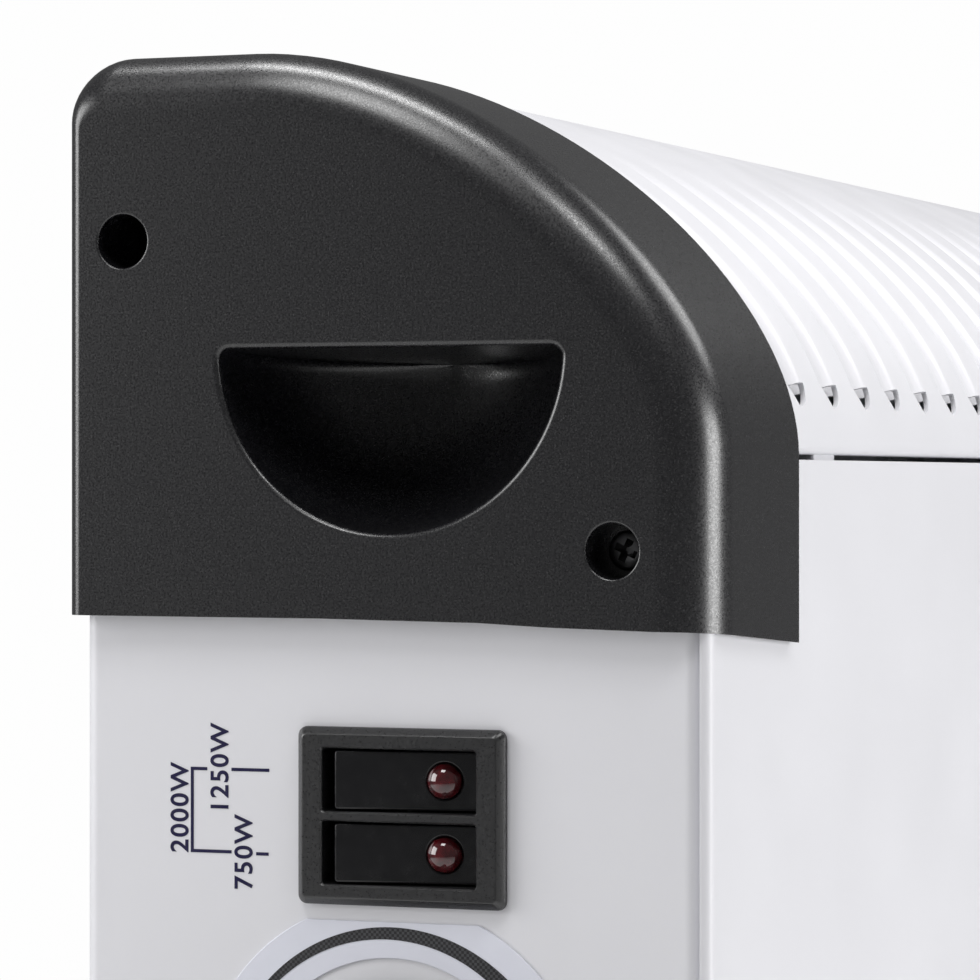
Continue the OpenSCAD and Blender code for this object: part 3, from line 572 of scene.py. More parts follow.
def grille_strip(rows, left, width, is_first, is_last):
    """Verts and faces of the sheet from one slit to the next, with the blade pressed in at its left edge."""
    columns = [0, 8, 16, 24, 29] if is_first else list(PRESS_COLUMNS)
    if is_last:
        columns += [20, 26]
    columns.append(width)
    kept = 0 if is_first else FIRST_KEPT
    near = 1e-4
    verts, faces, grid = [], [], []
    for point, normal in rows:
        z = point.y
        on_front = point.x < SLIT_TOP_Y and z > SEAM_Z + LIP_BAND
        above = on_front and z >= STEP_Z - near
        in_hole = on_front and TIP_Z - near <= z < STEP_Z - near
        cut = in_hole or z < TIP_Z - near
        hole_left, hole_right = hole_edges(max(z, TIP_Z)) if in_hole else (HOLE_TIP, HOLE_TIP)
        line = []
        for j, c in enumerate(columns):
            if cut and j < kept:
                line.append(None)
                continue
            x, depth = c, 0
            if cut:
                a = 0 if is_first else hole_right
                b = width if is_last else width + hole_left
                x = a + (c - columns[kept]) * (b - a) / (width - columns[kept])
            elif above and j == len(columns) - 1 and not is_last:
                x -= SLIT_GAP
            if above and not is_first:
                depth = PRESS_DEPTH * (1 - smoothstep(c / PRESS_WIDTH)) * press_share(point)
            place = point - depth * normal
            verts.append((X_LEFT + left + x, place.x, place.y))
            line.append(len(verts) - 1)
        grid.append(line)
    for low_row, high_row in zip(grid, grid[1:]):
        for j in range(len(columns) - 1):
            quad = (low_row[j], low_row[j + 1], high_row[j + 1], high_row[j])
            if None not in quad:
                faces.append(quad)
    return verts, faces


def grille():
    rows = insert_rows(grille_profile())
    slits = [FIRST_LOUVRE + LOUVRE_PITCH * k for k in range(LOUVRE_COUNT)]
    edges = [INNER_STEP, *slits, CASE_W - INNER_STEP]
    last = len(edges) - 2
    obj = join("louvred_grille", [
        grille_strip(rows, edges[k], edges[k + 1] - edges[k], k == 0, k == last) for k in range(last + 1)
    ])
    bm = bmesh.new()
    bm.from_mesh(obj.data)
    bmesh.ops.remove_doubles(bm, verts=bm.verts, dist=2e-5)
    bm.to_mesh(obj.data)
    bm.free()
    solid = obj.modifiers.new("sheet", "SOLIDIFY")
    solid.thickness = SHEET * MM
    solid.offset = -1
    return bake(obj)


def grille_tabs():
    """Tongues under the grille's front lip that hook behind the front panel."""
    bottom = low("outlet_grille").z
    parts = []
    count = 4
    for i in range(count):
        x = X_LEFT + 55 + i * (CASE_W - 110) / (count - 1)
        y = Y_FRONT + SHEET + 0.3 + SHEET / 2
        rings = [
            [(x + a, y + b, z) for a, b in rounded_rect(half, SHEET / 2, 0.25, 3)]
            for z, half in ((bottom, 4.2), (bottom + 1.2, 5), (SEAM_Z + 1, 5))
        ]
        parts.append(loft_data(rings))
    return join("grille_tabs", parts)


finish_piece(smooth(grille(), 40), LOOKS["white_enamel"], "case", "white_enamel", "outlet_grille")
finish_piece(smooth(grille_tabs()), LOOKS["white_enamel"], "case", "white_enamel", "outlet_grille")

# ---------- end caps ----------

CAP_FILLET = 8.5
BACK_FILLET = 3.5
BACK_CORNER_R = 8.5
CAP_DROP = 79.2


def cap_outline(x, inset, steps=40):
    """One cross-section of a cap's outside, from the back's lower corner over the top to the front's."""
    back = CAP_BACK_Y - inset * BACK_FILLET / CAP_FILLET
    corner = BACK_CORNER_R - inset * 0.7
    run = (x + CAP_PROUD) / (CAP_END + CAP_PROUD)
    points = [(back, CASE_TOP - CAP_DROP + (CAP_DROP - 20) * k / 4) for k in range(4)]
    corner_z = CASE_TOP - inset - corner
    for k in range(13):
        a = math.radians(90 * k / 12)
        points.append((back - corner + corner * math.cos(a), corner_z + corner * math.sin(a)))
    for k in range(steps + 1):
        p = flank_point(k / steps, inset)
        points.append((p.x, p.y))
    low_z = CASE_TOP - 80.5 - 2.6 * run
    front = points[-1]
    points += [(front[0], front[1] + (low_z - front[1]) * k / 3) for k in range(1, 4)]
    points.append((-24, CASE_TOP - 80.1 - 1.2 * run))
    points.append((-14, CASE_TOP - 79.6 - 0.8 * run))
    points.append((10, CASE_TOP - 79.25 - 0.2 * run))
    return [(x, y, z) for y, z in points]


def cap_outside():
    steps = 14
    rings = []
    for k in range(steps + 1):
        a = math.radians(90 * k / steps)
        rings.append(cap_outline(CAP_FILLET * (1 - math.cos(a)) - CAP_PROUD, CAP_FILLET * (1 - math.sin(a))))
    for k in range(1, 5):
        x = CAP_FILLET - CAP_PROUD
        rings.append(cap_outline(x + (CAP_END - x) * k / 4, 0))
    return loft("cap", rings)


def room_outline(x, inset, back, corner, bottom):
    points = [(back, bottom)]
    corner_z = CASE_TOP - inset - corner
    for k in range(7):
        a = math.radians(90 * k / 6)
        points.append((back - corner + corner * math.cos(a), corner_z + corner * math.sin(a)))
    for k in range(31):
        p = flank_point(k / 30, inset)
        points.append((p.x, p.y))
    points.append((points[-1][0], bottom))
    return [(x, y, z) for y, z in points]


def cap_room():
    """The room inside a cap, less what stands in it."""
    wall = 1.2
    back = Y_BACK + 0.25
    bottom = CASE_TOP - 100
    rings = [
        room_outline(-0.5, 8.0, back - 5.5, 4, bottom),
        room_outline(1.2, 5.2, back - 3.6, 4, bottom),
        room_outline(3.2, 3.2, back - 2, 4.4, bottom),
        room_outline(6, wall + 0.4, back - 0.6, 5, bottom),
        room_outline(9, wall, back, 5.3, bottom),
        room_outline(CAP_END + 5, wall, back, 5.3, bottom),
    ]
    room = loft("room", rings)
    front = Y_FRONT - 0.1
    lower_rect = rounded_rect(CAP_END / 2 + 2.1, (back - front) / 2, 1.7)
    lower = loft("lower_room", [
        [(x + CAP_END / 2 + 2, (front + back) / 2 + y, z) for x, y in lower_rect]
        for z in (bottom, CASE_TOP - 74.4)
    ])
    combine(room, lower, "UNION")
    bowl = scoop_solid("bowl", SCOOP_R + 2, 2, 0)
    combine(room, bowl, "DIFFERENCE")
    for (y, z), r, depth in ((BACK_SCREW, 5.2, BACK_LUG_X), (FRONT_SCREW, 5, INNER_STEP)):
        combine(room, rod("boss", y, z, r, -2, depth), "DIFFERENCE")
    return room


def rod(name, y, z, r, x0, x1, steps=40, flare=0):
    profile = [(x0, r), (x1, r)]
    if flare:
        profile = [(x0, r + flare)]
        for k in range(7):
            a = math.radians(90 * k / 6)
            profile.append((-CAP_PROUD + flare * (1 - math.cos(a)), r + flare * (1 - math.sin(a))))
        profile.append((x1, r))
    return make(name, *lathe_data(profile, steps, lambda x, a, b: (x, y + a, z + b)))


def scoop_ring(x, radius, lid, corner):
    """A disc with a flat top and two small rounded corners."""
    corner = min(corner, radius * 0.3)
    top = min(lid, radius - 0.01)
    reach = math.sqrt(max((radius - corner) ** 2 - (top - corner) ** 2, 0))
    start = math.atan2(top - corner, reach)
    points = []
    for k in range(7):
        a = math.pi / 2 + (start - math.pi / 2) * k / 6
        points.append((reach + corner * math.cos(a), top - corner + corner * math.sin(a)))
    sweep = math.pi + 2 * start
    arc_steps = 56
    for k in range(1, arc_steps):
        a = start - sweep * k / arc_steps
        points.append((radius * math.cos(a), radius * math.sin(a)))
    for k in range(7):
        a = math.pi - start + (start - math.pi / 2) * k / 6
        points.append((-reach + corner * math.cos(a), top - corner + corner * math.sin(a)))
    return [(x, SCOOP_Y + y, SCOOP_Z + z) for y, z in points]


def scoop_solid(name, radius, lift, flare):
    """A quarter ball behind the cap's face, with a nearly level lid; flare rounds its rim."""
    corner = 1.6
    slope = math.tan(math.radians(4))
    rings = [scoop_ring(-CAP_PROUD - 3, radius + flare, lift + flare, corner + flare)] if flare else []
    for k in range(7 if flare else 0):
        a = math.radians(90 * k / 6)
        grow = flare * (1 - math.sin(a))
        depth = flare * (1 - math.cos(a))
        rings.append(scoop_ring(-CAP_PROUD + depth, radius + grow, lift + grow, corner + grow))
    steps = 26
    for k in range(1 if flare else 0, steps):
        a = math.radians(88 * k / steps)
        depth = radius * math.sin(a)
        if depth < flare * 1.05:
            continue
        rings.append(scoop_ring(-CAP_PROUD + depth, radius * math.cos(a), lift - depth * slope, corner))
    return loft(name, rings)


def end_cap():
    cap = cap_outside()
    combine(cap, cap_room(), "DIFFERENCE")
    combine(cap, scoop_solid("scoop", SCOOP_R - 0.6, 0, 0.9), "DIFFERENCE")
    for (y, z), depth in ((BACK_SCREW, BACK_LUG_X - 2), (FRONT_SCREW, INNER_STEP - 2)):
        combine(cap, rod("recess", y, z, RECESS_R - 0.1, -10, depth, flare=0.35), "DIFFERENCE")
        combine(cap, rod("hole", y, z, 1.6, depth - 3, depth + 20, 20), "DIFFERENCE")
    return cap


def placed_cap(name, node, mirrored, source):
    obj = bpy.data.objects.new(name, source.data.copy())
    bpy.context.scene.collection.objects.link(obj)
    if mirrored:
        obj.data.transform(Matrix.Translation((X_RIGHT * MM, 0, 0)) @ Matrix.Scale(-1, 4, (1, 0, 0)))
        obj.data.flip_normals()
    else:
        obj.data.transform(Matrix.Translation((X_LEFT * MM, 0, 0)))
    smooth(obj, 30)
    bevel(obj, 0.3, 2, 50)
    weigh(obj)
    return finish_piece(obj, LOOKS["cap_plastic"], "case", "cap_plastic", node)


cap_source = end_cap()
placed_cap("cap_shell_control", "end_cap_control", False, cap_source)
placed_cap("cap_shell_plain", "end_cap_plain", True, cap_source)
bpy.data.objects.remove(cap_source)

# ---------- screws ----------


def screw(head_r, head_h, shank_r, length):
    """A pan-head tapping screw along +Z with a cross recess, its head's underside at z = 0."""
    profile = [(-head_h, 0.02)]
    for k in range(6):
        a = math.radians(90 * k / 5)
        profile.append((-head_h * 0.55 - head_h * 0.45 * math.cos(a), head_r * (0.35 + 0.65 * math.sin(a))))
    profile += [(0, head_r), (0, shank_r)]
    pitch = shank_r * 0.9
    turns = int((length - 3) / pitch)
    steps = 24
    rings = [[(x, y, z) for x, y in circle(r, steps)] for z, r in profile]
    fine = 5
    for i in range(turns * fine):
        z = 0.8 + i * pitch / fine
        ring = []
        for k in range(steps):
            phase = (i / fine - k / steps) % 1
            r = shank_r * (0.78 + 0.22 * (1 - min(abs(phase - 0.5) * 4, 1)))
            ring.append((r * math.cos(2 * math.pi * k / steps), r * math.sin(2 * math.pi * k / steps), z))
        rings.append(ring)
    for z, r in ((length - 1.2, shank_r * 0.7), (length, 0.05)):
        rings.append([(x, y, z) for x, y in circle(r, steps)])
    obj = loft("screw", rings)
    for quarter in (0, 90):
        arm = [(-head_h - 1, 0.62, 0.2), (-head_h, 0.6, 0.19), (-head_h + head_h * 0.75, 0.2, 0.1)]
        rings = [
            [(head_r * x, head_r * y, z) for x, y in ((-a, -b), (a, -b), (a, b), (-a, b))] for z, a, b in arm
        ]
        cutter = loft("arm", rings)
        cutter.data.transform(Matrix.Rotation(math.radians(quarter), 4, "Z"))
        combine(obj, cutter, "DIFFERENCE")
    return obj


def screws(name, node, slot, size, places):
    """Copies of one screw; a place is (point in mm, direction of the shank, turn in degrees)."""
    source = screw(*size)
    mesh = bpy.data.meshes.new(name)
    bm = bmesh.new()
    for point, direction, turn in places:
        copy = source.data.copy()
        rotation = Vector((0, 0, 1)).rotation_difference(Vector(direction)).to_matrix().to_4x4()
        copy.transform(
            Matrix.Translation(Vector(point) * MM) @ rotation @ Matrix.Rotation(math.radians(turn), 4, "Z"))
        bm.from_mesh(copy)
        bpy.data.meshes.remove(copy)
    bm.to_mesh(mesh)
    bm.free()
    bpy.data.objects.remove(source)
    obj = bpy.data.objects.new(name, mesh)
    bpy.context.scene.collection.objects.link(obj)
    smooth(obj, 32)
    return finish_piece(obj, LOOKS[slot], "case", slot, node)


CAP_SCREWS = [
    ((end + side * (depth - 2), place.x, place.y), (side, 0, 0), turn)
    for end, side in ((X_LEFT, 1), (X_RIGHT, -1))
    for place, depth, turn in ((BACK_SCREW, BACK_LUG_X, 10), (FRONT_SCREW, INNER_STEP, 25))
]
screws("cap_screw_set", "cap_screws", "black_screw", (2.8, 2.4, 1.45, 9), CAP_SCREWS)
CASE_SCREWS = [((x, Y_BACK, z), (0, -1, 0), 37 * i)
               for i, (x, z) in enumerate(
                   [(x, z) for x in (X_LEFT + 6.5, X_RIGHT - 6.5) for z in (60, 145, 230)]
                   + [(X_LEFT + 60 + k * (CASE_W - 120) / 3, CASE_TOP - 15) for k in range(4)])]
CASE_SCREWS.append(((X_RIGHT, 0, 80), (-1, 0, 0), 20))
screws("case_screw_set", "case_screws", "zinc_screw", (3.2, 2.2, 1.45, 8), CASE_SCREWS)

# ---------- switch ----------

PIVOT = [Vector(JOINTS[f"rocker_{n}_rock"]["pos_m"]) / MM for n in ("1250", "750")]
SWITCH_Y = PIVOT[0].y
SWITCH_Z = (PIVOT[0].z + PIVOT[1].z) / 2
ROCKER_PITCH = PIVOT[0].z - PIVOT[1].z
BEZEL_W = 31
BEZEL_H = 24.7
PIVOT_X = 4
ROCKER_R = 11.1
ROCKER_TOP = 4.6
ROCKER_W = 8.1
ROCKER_TILT = JOINTS["rocker_1250_rock"]["range_deg"][1] / 2
LENS_R = 2.4
LENS_Y = -5.5


def switch_bezel():
    """The switch's bezel and body in one, with two openings for the rockers."""
    half_a, half_b = BEZEL_W / 2, BEZEL_H / 2
    rings = []
    for x, inset, r in ((0, 0.15, 1.2), (-0.25, 0, 1.3), (-0.8, 0.05, 1.3), (-1.15, 0.3, 1.1),
                        (-1.85, 0.95, 0.7), (-2, 1.2, 0.6)):
        rings.append([(x, a, b) for a, b in rounded_rect(half_a - inset, half_b - inset, r)])
    bezel = loft("bezel", rings)
    body = loft("body", [
        [(x, a, b) for a, b in rounded_rect(14.8, 11, 0.8)] for x in (-1, 16.2)
    ] + [[(17, a, b) for a, b in rounded_rect(14.2, 10.4, 0.8)]])
    combine(bezel, body, "UNION")
    for side in (-1, 1):
        z = side * ROCKER_PITCH / 2
        rings = []
        for x, grow in ((-3, 0.3), (-2, 0.3), (-1.75, 0.05), (-1.6, 0), (14, 0)):
            rect = rounded_rect(ROCKER_R + 0.35 + grow, ROCKER_W / 2 + 0.3 + grow, 0.4 + grow, 4)
            rings.append([(x, a, z + b) for a, b in rect])
        combine(bezel, loft("slot", rings), "DIFFERENCE")
        for y in (0, -8):
            tab_hole = loft("tab_hole", [
                [(x, y + a, z + b) for a, b in rounded_rect(1.6, 3.3, 0.3, 2)] for x in (13, 21)
            ])
            combine(bezel, tab_hole, "DIFFERENCE")
        pin = make("pin", *lathe_data([(z - 4.9, 1.25), (z + 4.9, 1.25)], 24,
                                      lambda along, a, b: (PIVOT_X + a, b, along)))
        combine(bezel, pin, "DIFFERENCE")
    bridge = loft("bridge", [
        [(x, a, b) for a, b in rounded_rect(1.6, ROCKER_PITCH / 2, 0.3, 2)] for x in (15, 21)
    ])
    combine(bezel, bridge, "DIFFERENCE")
    bezel.data.transform(Matrix.Translation(Vector((X_LEFT, SWITCH_Y, SWITCH_Z)) * MM))
    smooth(bezel, 30)
    weigh(bezel)
    return finish_piece(bezel, LOOKS["bezel_plastic"], "case", "bezel_plastic", "switch_housing")


switch_bezel()


def at_rocker(obj, pivot):
    turn = Matrix.Rotation(math.radians(ROCKER_TILT), 4, "Z")
    obj.data.transform(Matrix.Translation(pivot * MM) @ turn)
    return obj


def rocker(label, pivot, body):
    """One rocker with its trunnions and its lens, tilted to the off side."""
    edge = 0.35
    half = math.sqrt(ROCKER_R ** 2 - ROCKER_TOP ** 2)
    start = math.asin(half / ROCKER_R)
    end = math.pi - math.acos(3 / ROCKER_R)
    outline = []
    for k in range(13):
        a = start + (end - start) * k / 12
        outline.append((-ROCKER_R * math.cos(a), ROCKER_R * math.sin(a)))
    outline += [(x, -y) for x, y in reversed(outline)]
    rings = []
    for z, inset in ((-ROCKER_W / 2, edge), (-ROCKER_W / 2 + 0.1, edge * 0.42), (-ROCKER_W / 2 + edge, 0),
                     (ROCKER_W / 2 - edge, 0), (ROCKER_W / 2 - 0.1, edge * 0.42), (ROCKER_W / 2, edge)):
        scale = 1 - inset / ROCKER_R
        rings.append([(x * scale + (inset * 0.4 if x < 0 else 0), y * scale, z) for x, y in outline])
    obj = loft(f"rocker_{label}_key", rings)
    pin = make("pin", *lathe_data([(-4.85, 1.0), (-4.65, 1.2), (4.65, 1.2), (4.85, 1.0)], 24,
                                  lambda along, a, b: (a, b, along)))
    combine(obj, pin, "UNION")
    well = make("well", *lathe_data(
        [(-ROCKER_TOP - 1, LENS_R + 0.35), (-ROCKER_TOP, LENS_R + 0.35), (-ROCKER_TOP + 0.25, LENS_R + 0.1),
         (-ROCKER_TOP + 2, LENS_R + 0.1)], 40, lambda along, a, b: (along, LENS_Y + a, b)))
    combine(obj, well, "DIFFERENCE")
    hole = make("hole", *lathe_data([(1, 1.05), (11, 1.05)], 20, lambda along, a, b: (along, a, b)))
    combine(obj, hole, "DIFFERENCE")
    at_rocker(obj, pivot)
    smooth(obj, 28)
    bevel(obj, 0.3, 3, 40)
    weigh(obj)
    finish_piece(obj, LOOKS["rocker_plastic"], body, "rocker_plastic", f"rocker_{label}")

    dome = [(-ROCKER_TOP + 1.9, 0.02), (-ROCKER_TOP + 1.9, LENS_R), (-ROCKER_TOP - 0.15, LENS_R)]
    sphere_r = 2.85
    centre = -ROCKER_TOP - 0.15 + math.sqrt(sphere_r ** 2 - LENS_R ** 2)
    reach = math.asin(LENS_R / sphere_r)
    for k in range(1, 13):
        a = reach * (1 - k / 12)
        dome.append((centre - sphere_r * math.cos(a), max(sphere_r * math.sin(a), 0.02)))
    lens = make(f"lens_{label}_dome", *lathe_data(dome, 48, lambda along, a, b: (along, LENS_Y + a, b)))
    at_rocker(lens, pivot)
    smooth(lens, 40)
    finish_piece(lens, LOOKS["red_lens"], body, "red_lens", f"lens_{label}")


rocker("1250", PIVOT[0], "rocker_upper")
rocker("750", PIVOT[1], "rocker_lower")

# ---------- printed marks ----------

print_ink = gloss_plastic("print_ink", (0.006, 0.004, 0.045), 0.35)
INK = 0.06


def strip_on_end(y0, y1, z0, z1):
    """A printed bar on the end panel, between two corners."""
    ring = [(y0, z0), (y1, z0), (y1, z1), (y0, z1)]
    return [[(x, y, z) for y, z in ring] for x in (X_LEFT - INK, X_LEFT + 0.05)]


def numerals(name, text, size, centre):
    """Printed figures on the end panel that read upward."""
    curve = bpy.data.curves.new(name, "FONT")
    curve.body = text
    curve.size = size * MM
    curve.extrude = INK * MM / 2
    curve.offset = 0.016 * size * MM
    curve.space_character = 1.12
    curve.align_x = "CENTER"
    curve.align_y = "CENTER"
    text_object = bpy.data.objects.new(name, curve)
    bpy.context.scene.collection.objects.link(text_object)
    bpy.context.view_layer.update()
    graph = bpy.context.evaluated_depsgraph_get()
    mesh = bpy.data.meshes.new_from_object(text_object.evaluated_get(graph))
    bpy.data.objects.remove(text_object)
    to_face = Matrix(((0, 0, -1, 0), (-1, 0, 0, 0), (0, 1, 0, 0), (0, 0, 0, 1)))
    place = Matrix.Translation(Vector((X_LEFT - INK / 2, *centre)) * MM)
    mesh.transform(place @ to_face @ Matrix.Rotation(math.radians(90), 4, "Z"))
    obj = bpy.data.objects.new(name, mesh)
    bpy.context.scene.collection.objects.link(obj)
    outward(obj)
    return finish_piece(obj, print_ink, "case", "label_print")


MARK_SIZE = 3.85
LINE = 0.45
for label, y, z in (("2000W", 32.35, 274.6), ("1250W", 26.15, 280.25), ("750W", 22.45, 268.6)):
    numerals(f"mark_{label}", label, MARK_SIZE, (y, z))
BARS = [
    (30.3, 30.3 + LINE, 268.4, 280.4),
    (28.2, 30.3, 279.95, 279.95 + LINE),
    (18.65, 24.45, 279.95, 279.95 + LINE),
    (24.45, 30.3, 268.4, 268.4 + LINE),
    (18.75, 20.65, 268.25, 268.25 + LINE),
]
bar_parts = [loft_data(strip_on_end(*bar)) for bar in BARS]
finish_piece(join("mark_bracket", bar_parts), print_ink, "case", "label_print")

# ---------- thermostat dial and knob ----------

DIAL_Z = Vector(JOINTS["knob_turn"]["pos_m"]).z / MM
LABEL_R = 29.5
LABEL_HOLE_R = 21.5
LABEL_T = 0.3
KNOB_R = 17.5
KNOB_PROUD = 20
KNOB_GAP = 1
KNOB_REST = 135


def dial_ring():
    """The printed label around the knob, with its top cut straight."""
    steps = 180
    flat = LABEL_R - 3

    def ring(x, outer, inner):
        out = [(x, y, min(z, flat - (LABEL_R - outer))) for y, z in circle(outer, steps)]
        return out, [(x, y, z) for y, z in circle(inner, steps)]

    levels = [ring(0.02, LABEL_R, LABEL_HOLE_R), ring(-LABEL_T + 0.08, LABEL_R, LABEL_HOLE_R),
              ring(-LABEL_T, LABEL_R - 0.08, LABEL_HOLE_R + 0.08)]
    loops = [levels[0][0], levels[1][0], levels[2][0], levels[2][1], levels[1][1], levels[0][1]]
    verts = [v for loop in loops for v in loop]
    faces = []
    for i in range(len(loops)):
        j = (i + 1) % len(loops)
        for k in range(steps):
            m = (k + 1) % steps
            faces.append((i * steps + k, i * steps + m, j * steps + m, j * steps + k))
    obj = make("dial_ring", verts, faces)
    obj.data.transform(Matrix.Translation(Vector((X_LEFT, 0, DIAL_Z)) * MM))
    smooth(obj, 30)
    return finish_piece(obj, LOOKS["label_print"], "case", "label_print", "dial_label")


def dial_crescent():
    """The swelling black band of the temperature scale, open at the bottom."""
    steps = 150
    shift = 0.7
    outer_r, inner_r = 25.8, 24.1
    outer, inner = [], []
    for k in range(steps + 1):
        a = math.radians(-45 + 270 * k / steps)
        outer.append((outer_r * math.cos(a), outer_r * math.sin(a)))
        inner.append((shift + inner_r * math.cos(a), inner_r * math.sin(a)))
    verts, faces = [], []
    for k in range(steps + 1):
        for x in (-LABEL_T - INK, -LABEL_T + 0.05):
            verts.append((x, *outer[k]))
            verts.append((x, *inner[k]))
    for k in range(steps):
        a, b = 4 * k, 4 * k + 4
        faces += [(a, b, b + 1, a + 1), (a + 2, a + 3, b + 3, b + 2), (a, a + 2, b + 2, b),
                  (a + 1, b + 1, b + 3, a + 3)]
    faces += [(0, 1, 3, 2), (4 * steps, 4 * steps + 2, 4 * steps + 3, 4 * steps + 1)]
    obj = make("dial_crescent", verts, faces)
    obj.data.transform(Matrix.Translation(Vector((X_LEFT, 0, DIAL_Z)) * MM))
    return finish_piece(obj, scale_ink(), "case", "label_print")


def scale_ink():
    """Black printed through a fine screen."""
    material, tree, shader = new_material("scale_ink", (0.012, 0.012, 0.014), 0.5)
    checker = tree.nodes.new("ShaderNodeTexChecker")
    checker.inputs["Scale"].default_value = 2600
    checker.inputs["Color1"].default_value = (0.006, 0.006, 0.008, 1)
    checker.inputs["Color2"].default_value = (0.05, 0.05, 0.055, 1)
    tree.links.new(coordinates(tree), checker.inputs["Vector"])
    tree.links.new(checker.outputs["Color"], shader.inputs["Base Color"])
    tree.links.new(spread(tree, noise(tree, 900, 2), 0.4, 0.6), shader.inputs["Roughness"])
    bump(tree, shader, noise(tree, 4000, 1), 0.1, 0.00003)
    return material


def knob():
    """A fluted skirt with a grip bar across it and a white pointer, turned to its rest."""
    steps = 144
    flutes = 36
    rings = []
    skirt = ((-KNOB_GAP, 0.4, 0), (-KNOB_GAP - 0.3, 0, 0.25), (-4.4, 0.5, 0.45), (-5.3, 0.9, 0.4),
             (-5.8, 1.5, 0.15), (-6, 2.4, 0))
    for x, inset, depth in skirt:
        radius = KNOB_R - inset
        ring = []
        for k in range(steps):
            a = 2 * math.pi * k / steps
            r = radius - depth * 0.5 * (1 - math.cos(flutes * a))
            ring.append((x, r * math.cos(a), r * math.sin(a)))
        rings.append(ring)
    obj = loft("knob_turning", rings)
    grip_rings = []
    grip = ((-4.5, 1.2, 15.5), (-6.2, 1.0, 15.5), (-7.2, 0.35, 15.4), (-9, 0, 15.3), (-17.8, -0.5, 14.9),
            (-19, -0.8, 14.6), (-19.7, -1.3, 14.1), (-KNOB_PROUD, -2.0, 13.4))
    for x, grow, half in grip:
        width = 4 + grow
        outline = rounded_rect(width, half, min(width, 4) - 0.05, 10)
        pinch = 0.55 if x < -7 else 0
        grip_rings.append([
            (x, y * (1 - pinch * 0.25 * math.cos(math.pi * z / (2 * half)) ** 2), z) for y, z in outline
        ])
    combine(obj, loft("grip", grip_rings), "UNION")
    bore = make("bore", *lathe_data([(-14, 3.05), (3, 3.05)], 40, lambda x, a, b: (x, min(a, 2.05), b)))
    combine(obj, bore, "DIFFERENCE")
    place = Matrix.Translation(Vector((X_LEFT, 0, DIAL_Z)) * MM) @ Matrix.Rotation(
        math.radians(-KNOB_REST), 4, "X")
    obj.data.transform(place)
    smooth(obj, 32)
    weigh(obj)
    finish_piece(obj, LOOKS["knob_plastic"], "knob", "knob_plastic", "thermostat_knob")
    line = loft("knob_pointer", [
        [(x, a, b + 10.2) for a, b in rounded_rect(0.55, 3.6, 0.4, 4)] for x in (-20.06, -19.6)
    ])
    line.data.transform(place)
    white = gloss_plastic("pointer_white", (0.8, 0.8, 0.8), 0.4, 0.01)
    finish_piece(line, white, "knob", "knob_plastic")


dial_ring()
dial_crescent()
knob()

# ---------- heating coils ----------


def helix_tube(path, radius, pitch, wire_r, name):
    """Wire wound around a path of close points, as one closed tube."""
    lengths = [0]
    for a, b in zip(path, path[1:]):
        lengths.append(lengths[-1] + (b - a).length)
    total = lengths[-1]
    per_turn, sides = 10, 5
    count = int(total / pitch * per_turn)
    centres = []
    i = 0
    up = Vector((0, 0, 1))
    for k in range(count + 1):
        s = total * k / count
        while i < len(path) - 2 and lengths[i + 1] < s:
            i += 1
        along = (path[i + 1] - path[i]).normalized()
        base = path[i] + along * (s - lengths[i])
        across = along.cross(up).normalized()
        a = 2 * math.pi * k / per_turn
        centres.append(base + radius * (math.cos(a) * across + math.sin(a) * up))
    rings = []
    for k, c in enumerate(centres):
        tangent = (centres[min(k + 1, count)] - centres[max(k - 1, 0)]).normalized()
        side = tangent.cross(up).normalized()
        other = tangent.cross(side)
        rings.append([tuple(c + wire_r * (a * side + b * other)) for a, b in circle(1, sides)])
    return loft(name, rings)


def coil_path(rows, z, x0, x1, x_inner):
    """Back and forth along X through the given rows, turning in half circles."""
    points = []
    direction = 1
    for k, y in enumerate(rows):
        first = x0 if k in (0, len(rows) - 1) else x_inner
        a, b = (first, x1) if direction > 0 else (x1, first)
        steps = 40
        points += [Vector((a + (b - a) * i / steps, y, z)) for i in range(steps + 1)]
        if k < len(rows) - 1:
            r = (rows[k + 1] - y) / 2
            for i in range(1, 12):
                angle = math.radians(180 * i / 12)
                points.append(Vector((b + direction * r * math.sin(angle), y + r - r * math.cos(angle), z)))
        direction = -direction
    return points


COIL_R = 2.6
COIL_PITCH = 2.0
WIRE_R = 0.38
COIL_START = X_LEFT + 56
COIL_END = X_RIGHT - 70
for node, rows, z, x_inner in (
        ("coil_1250", [-18, -6, 6, 18], 88, COIL_START + 10), ("coil_750", [-12, 12], 72, COIL_START)):
    path = coil_path(rows, z, COIL_START, COIL_END, x_inner)
    winding = helix_tube(path, COIL_R, COIL_PITCH, WIRE_R, f"{node}_winding")
    finish_piece(smooth(winding, 60), LOOKS["heating_wire"], "case", "heating_wire", node)

# ---------- stage, light, camera ----------


def floor():
    steps = 24
    half = 1.4
    row = steps + 1
    spots = [half * (2 * i / steps - 1) for i in range(row)]
    verts = [(x, y, -0.0002) for y in spots for x in spots]
    corners = [j * row + i for j in range(steps) for i in range(steps)]
    obj = make("floor", verts, [(c, c + 1, c + row + 1, c + row) for c in corners], 1.0)
    grey = (0.82, 0.82, 0.82)
    material, tree, shader = new_material("floor", grey, 0.7, specular=0.2)
    varied(tree, shader, grey, 0.01, 3)
    obj.data.materials.append(material)


def area_light(name, place, target, size, power):
    """A softbox: place and target in metres, size across and along it, power in watts."""
    light = bpy.data.lights.new(name, "AREA")
    light.shape = "RECTANGLE"
    light.size, light.size_y = size
    light.energy = power
    obj = bpy.data.objects.new(name, light)
    bpy.context.scene.collection.objects.link(obj)
    obj.location = place
    obj.rotation_euler = (Vector(target) - Vector(place)).to_track_quat("-Z", "Y").to_euler()


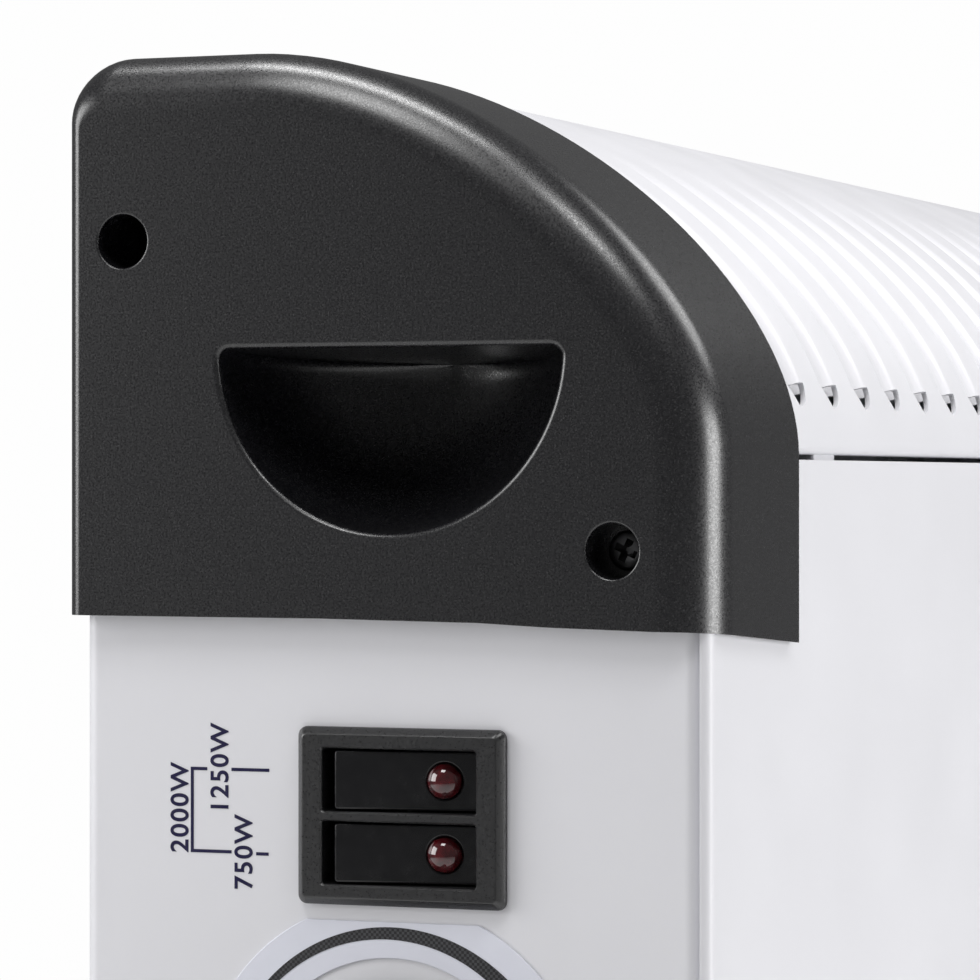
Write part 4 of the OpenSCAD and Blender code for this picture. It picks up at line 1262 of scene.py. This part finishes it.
def world():
    """Dim white light from all around, before a near-white backdrop."""
    sky = bpy.data.worlds.new("studio")
    bpy.context.scene.world = sky
    sky.use_nodes = True
    tree = sky.node_tree
    background = tree.nodes["Background"]
    background.inputs["Color"].default_value = (1.0, 1.0, 1.0, 1)
    background.inputs["Strength"].default_value = 0.16
    seen = tree.nodes.new("ShaderNodeBackground")
    seen.inputs["Color"].default_value = (0.99, 0.99, 0.99, 1)
    path = tree.nodes.new("ShaderNodeLightPath")
    mix = tree.nodes.new("ShaderNodeMixShader")
    tree.links.new(path.outputs["Is Camera Ray"], mix.inputs["Fac"])
    tree.links.new(background.outputs["Background"], mix.inputs[1])
    tree.links.new(seen.outputs["Background"], mix.inputs[2])
    tree.links.new(mix.outputs["Shader"], tree.nodes["World Output"].inputs["Surface"])


floor()
world()
area_light("overhead", (-0.22, 0.1, 1.2), (-0.26, -0.01, 0.37), (0.12, 0.6), 3.9)
area_light("front_top", (-0.5, -0.42, 1.12), (-0.26, -0.03, 0.35), (0.2, 0.2), 1.5)
area_light("left_top", (-0.78, 0.15, 1.28), (-0.26, 0, 0.32), (0.4, 0.4), 4.0)
area_light("left_back", (-0.72, 0.88, 0.55), (-0.26, 0, 0.28), (0.6, 0.6), 6.4)
area_light("right_top", (0.65, -0.68, 1.15), (-0.15, -0.05, 0.32), (0.6, 0.6), 4.4)
area_light("front", (-0.05, -1.35, 0.42), (-0.1, -0.05, 0.3), (0.6, 0.6), 10.0)

CAMERA_PLACE = Vector((-0.8065, -0.2316, 0.320))
CAMERA_LOOK = Vector((0.9298, 0.368, 0))
camera = bpy.data.cameras.new("camera")
camera.lens = 158.5
camera.sensor_width = 36
camera.clip_start = 0.05
camera.shift_y = -0.0051
camera_object = bpy.data.objects.new("camera", camera)
bpy.context.scene.collection.objects.link(camera_object)
camera_object.location = CAMERA_PLACE
camera_object.rotation_euler = CAMERA_LOOK.to_track_quat("-Z", "Y").to_euler()
bpy.context.scene.camera = camera_object
bpy.context.scene.view_settings.view_transform = "Standard"
bpy.context.scene.view_settings.look = "None"
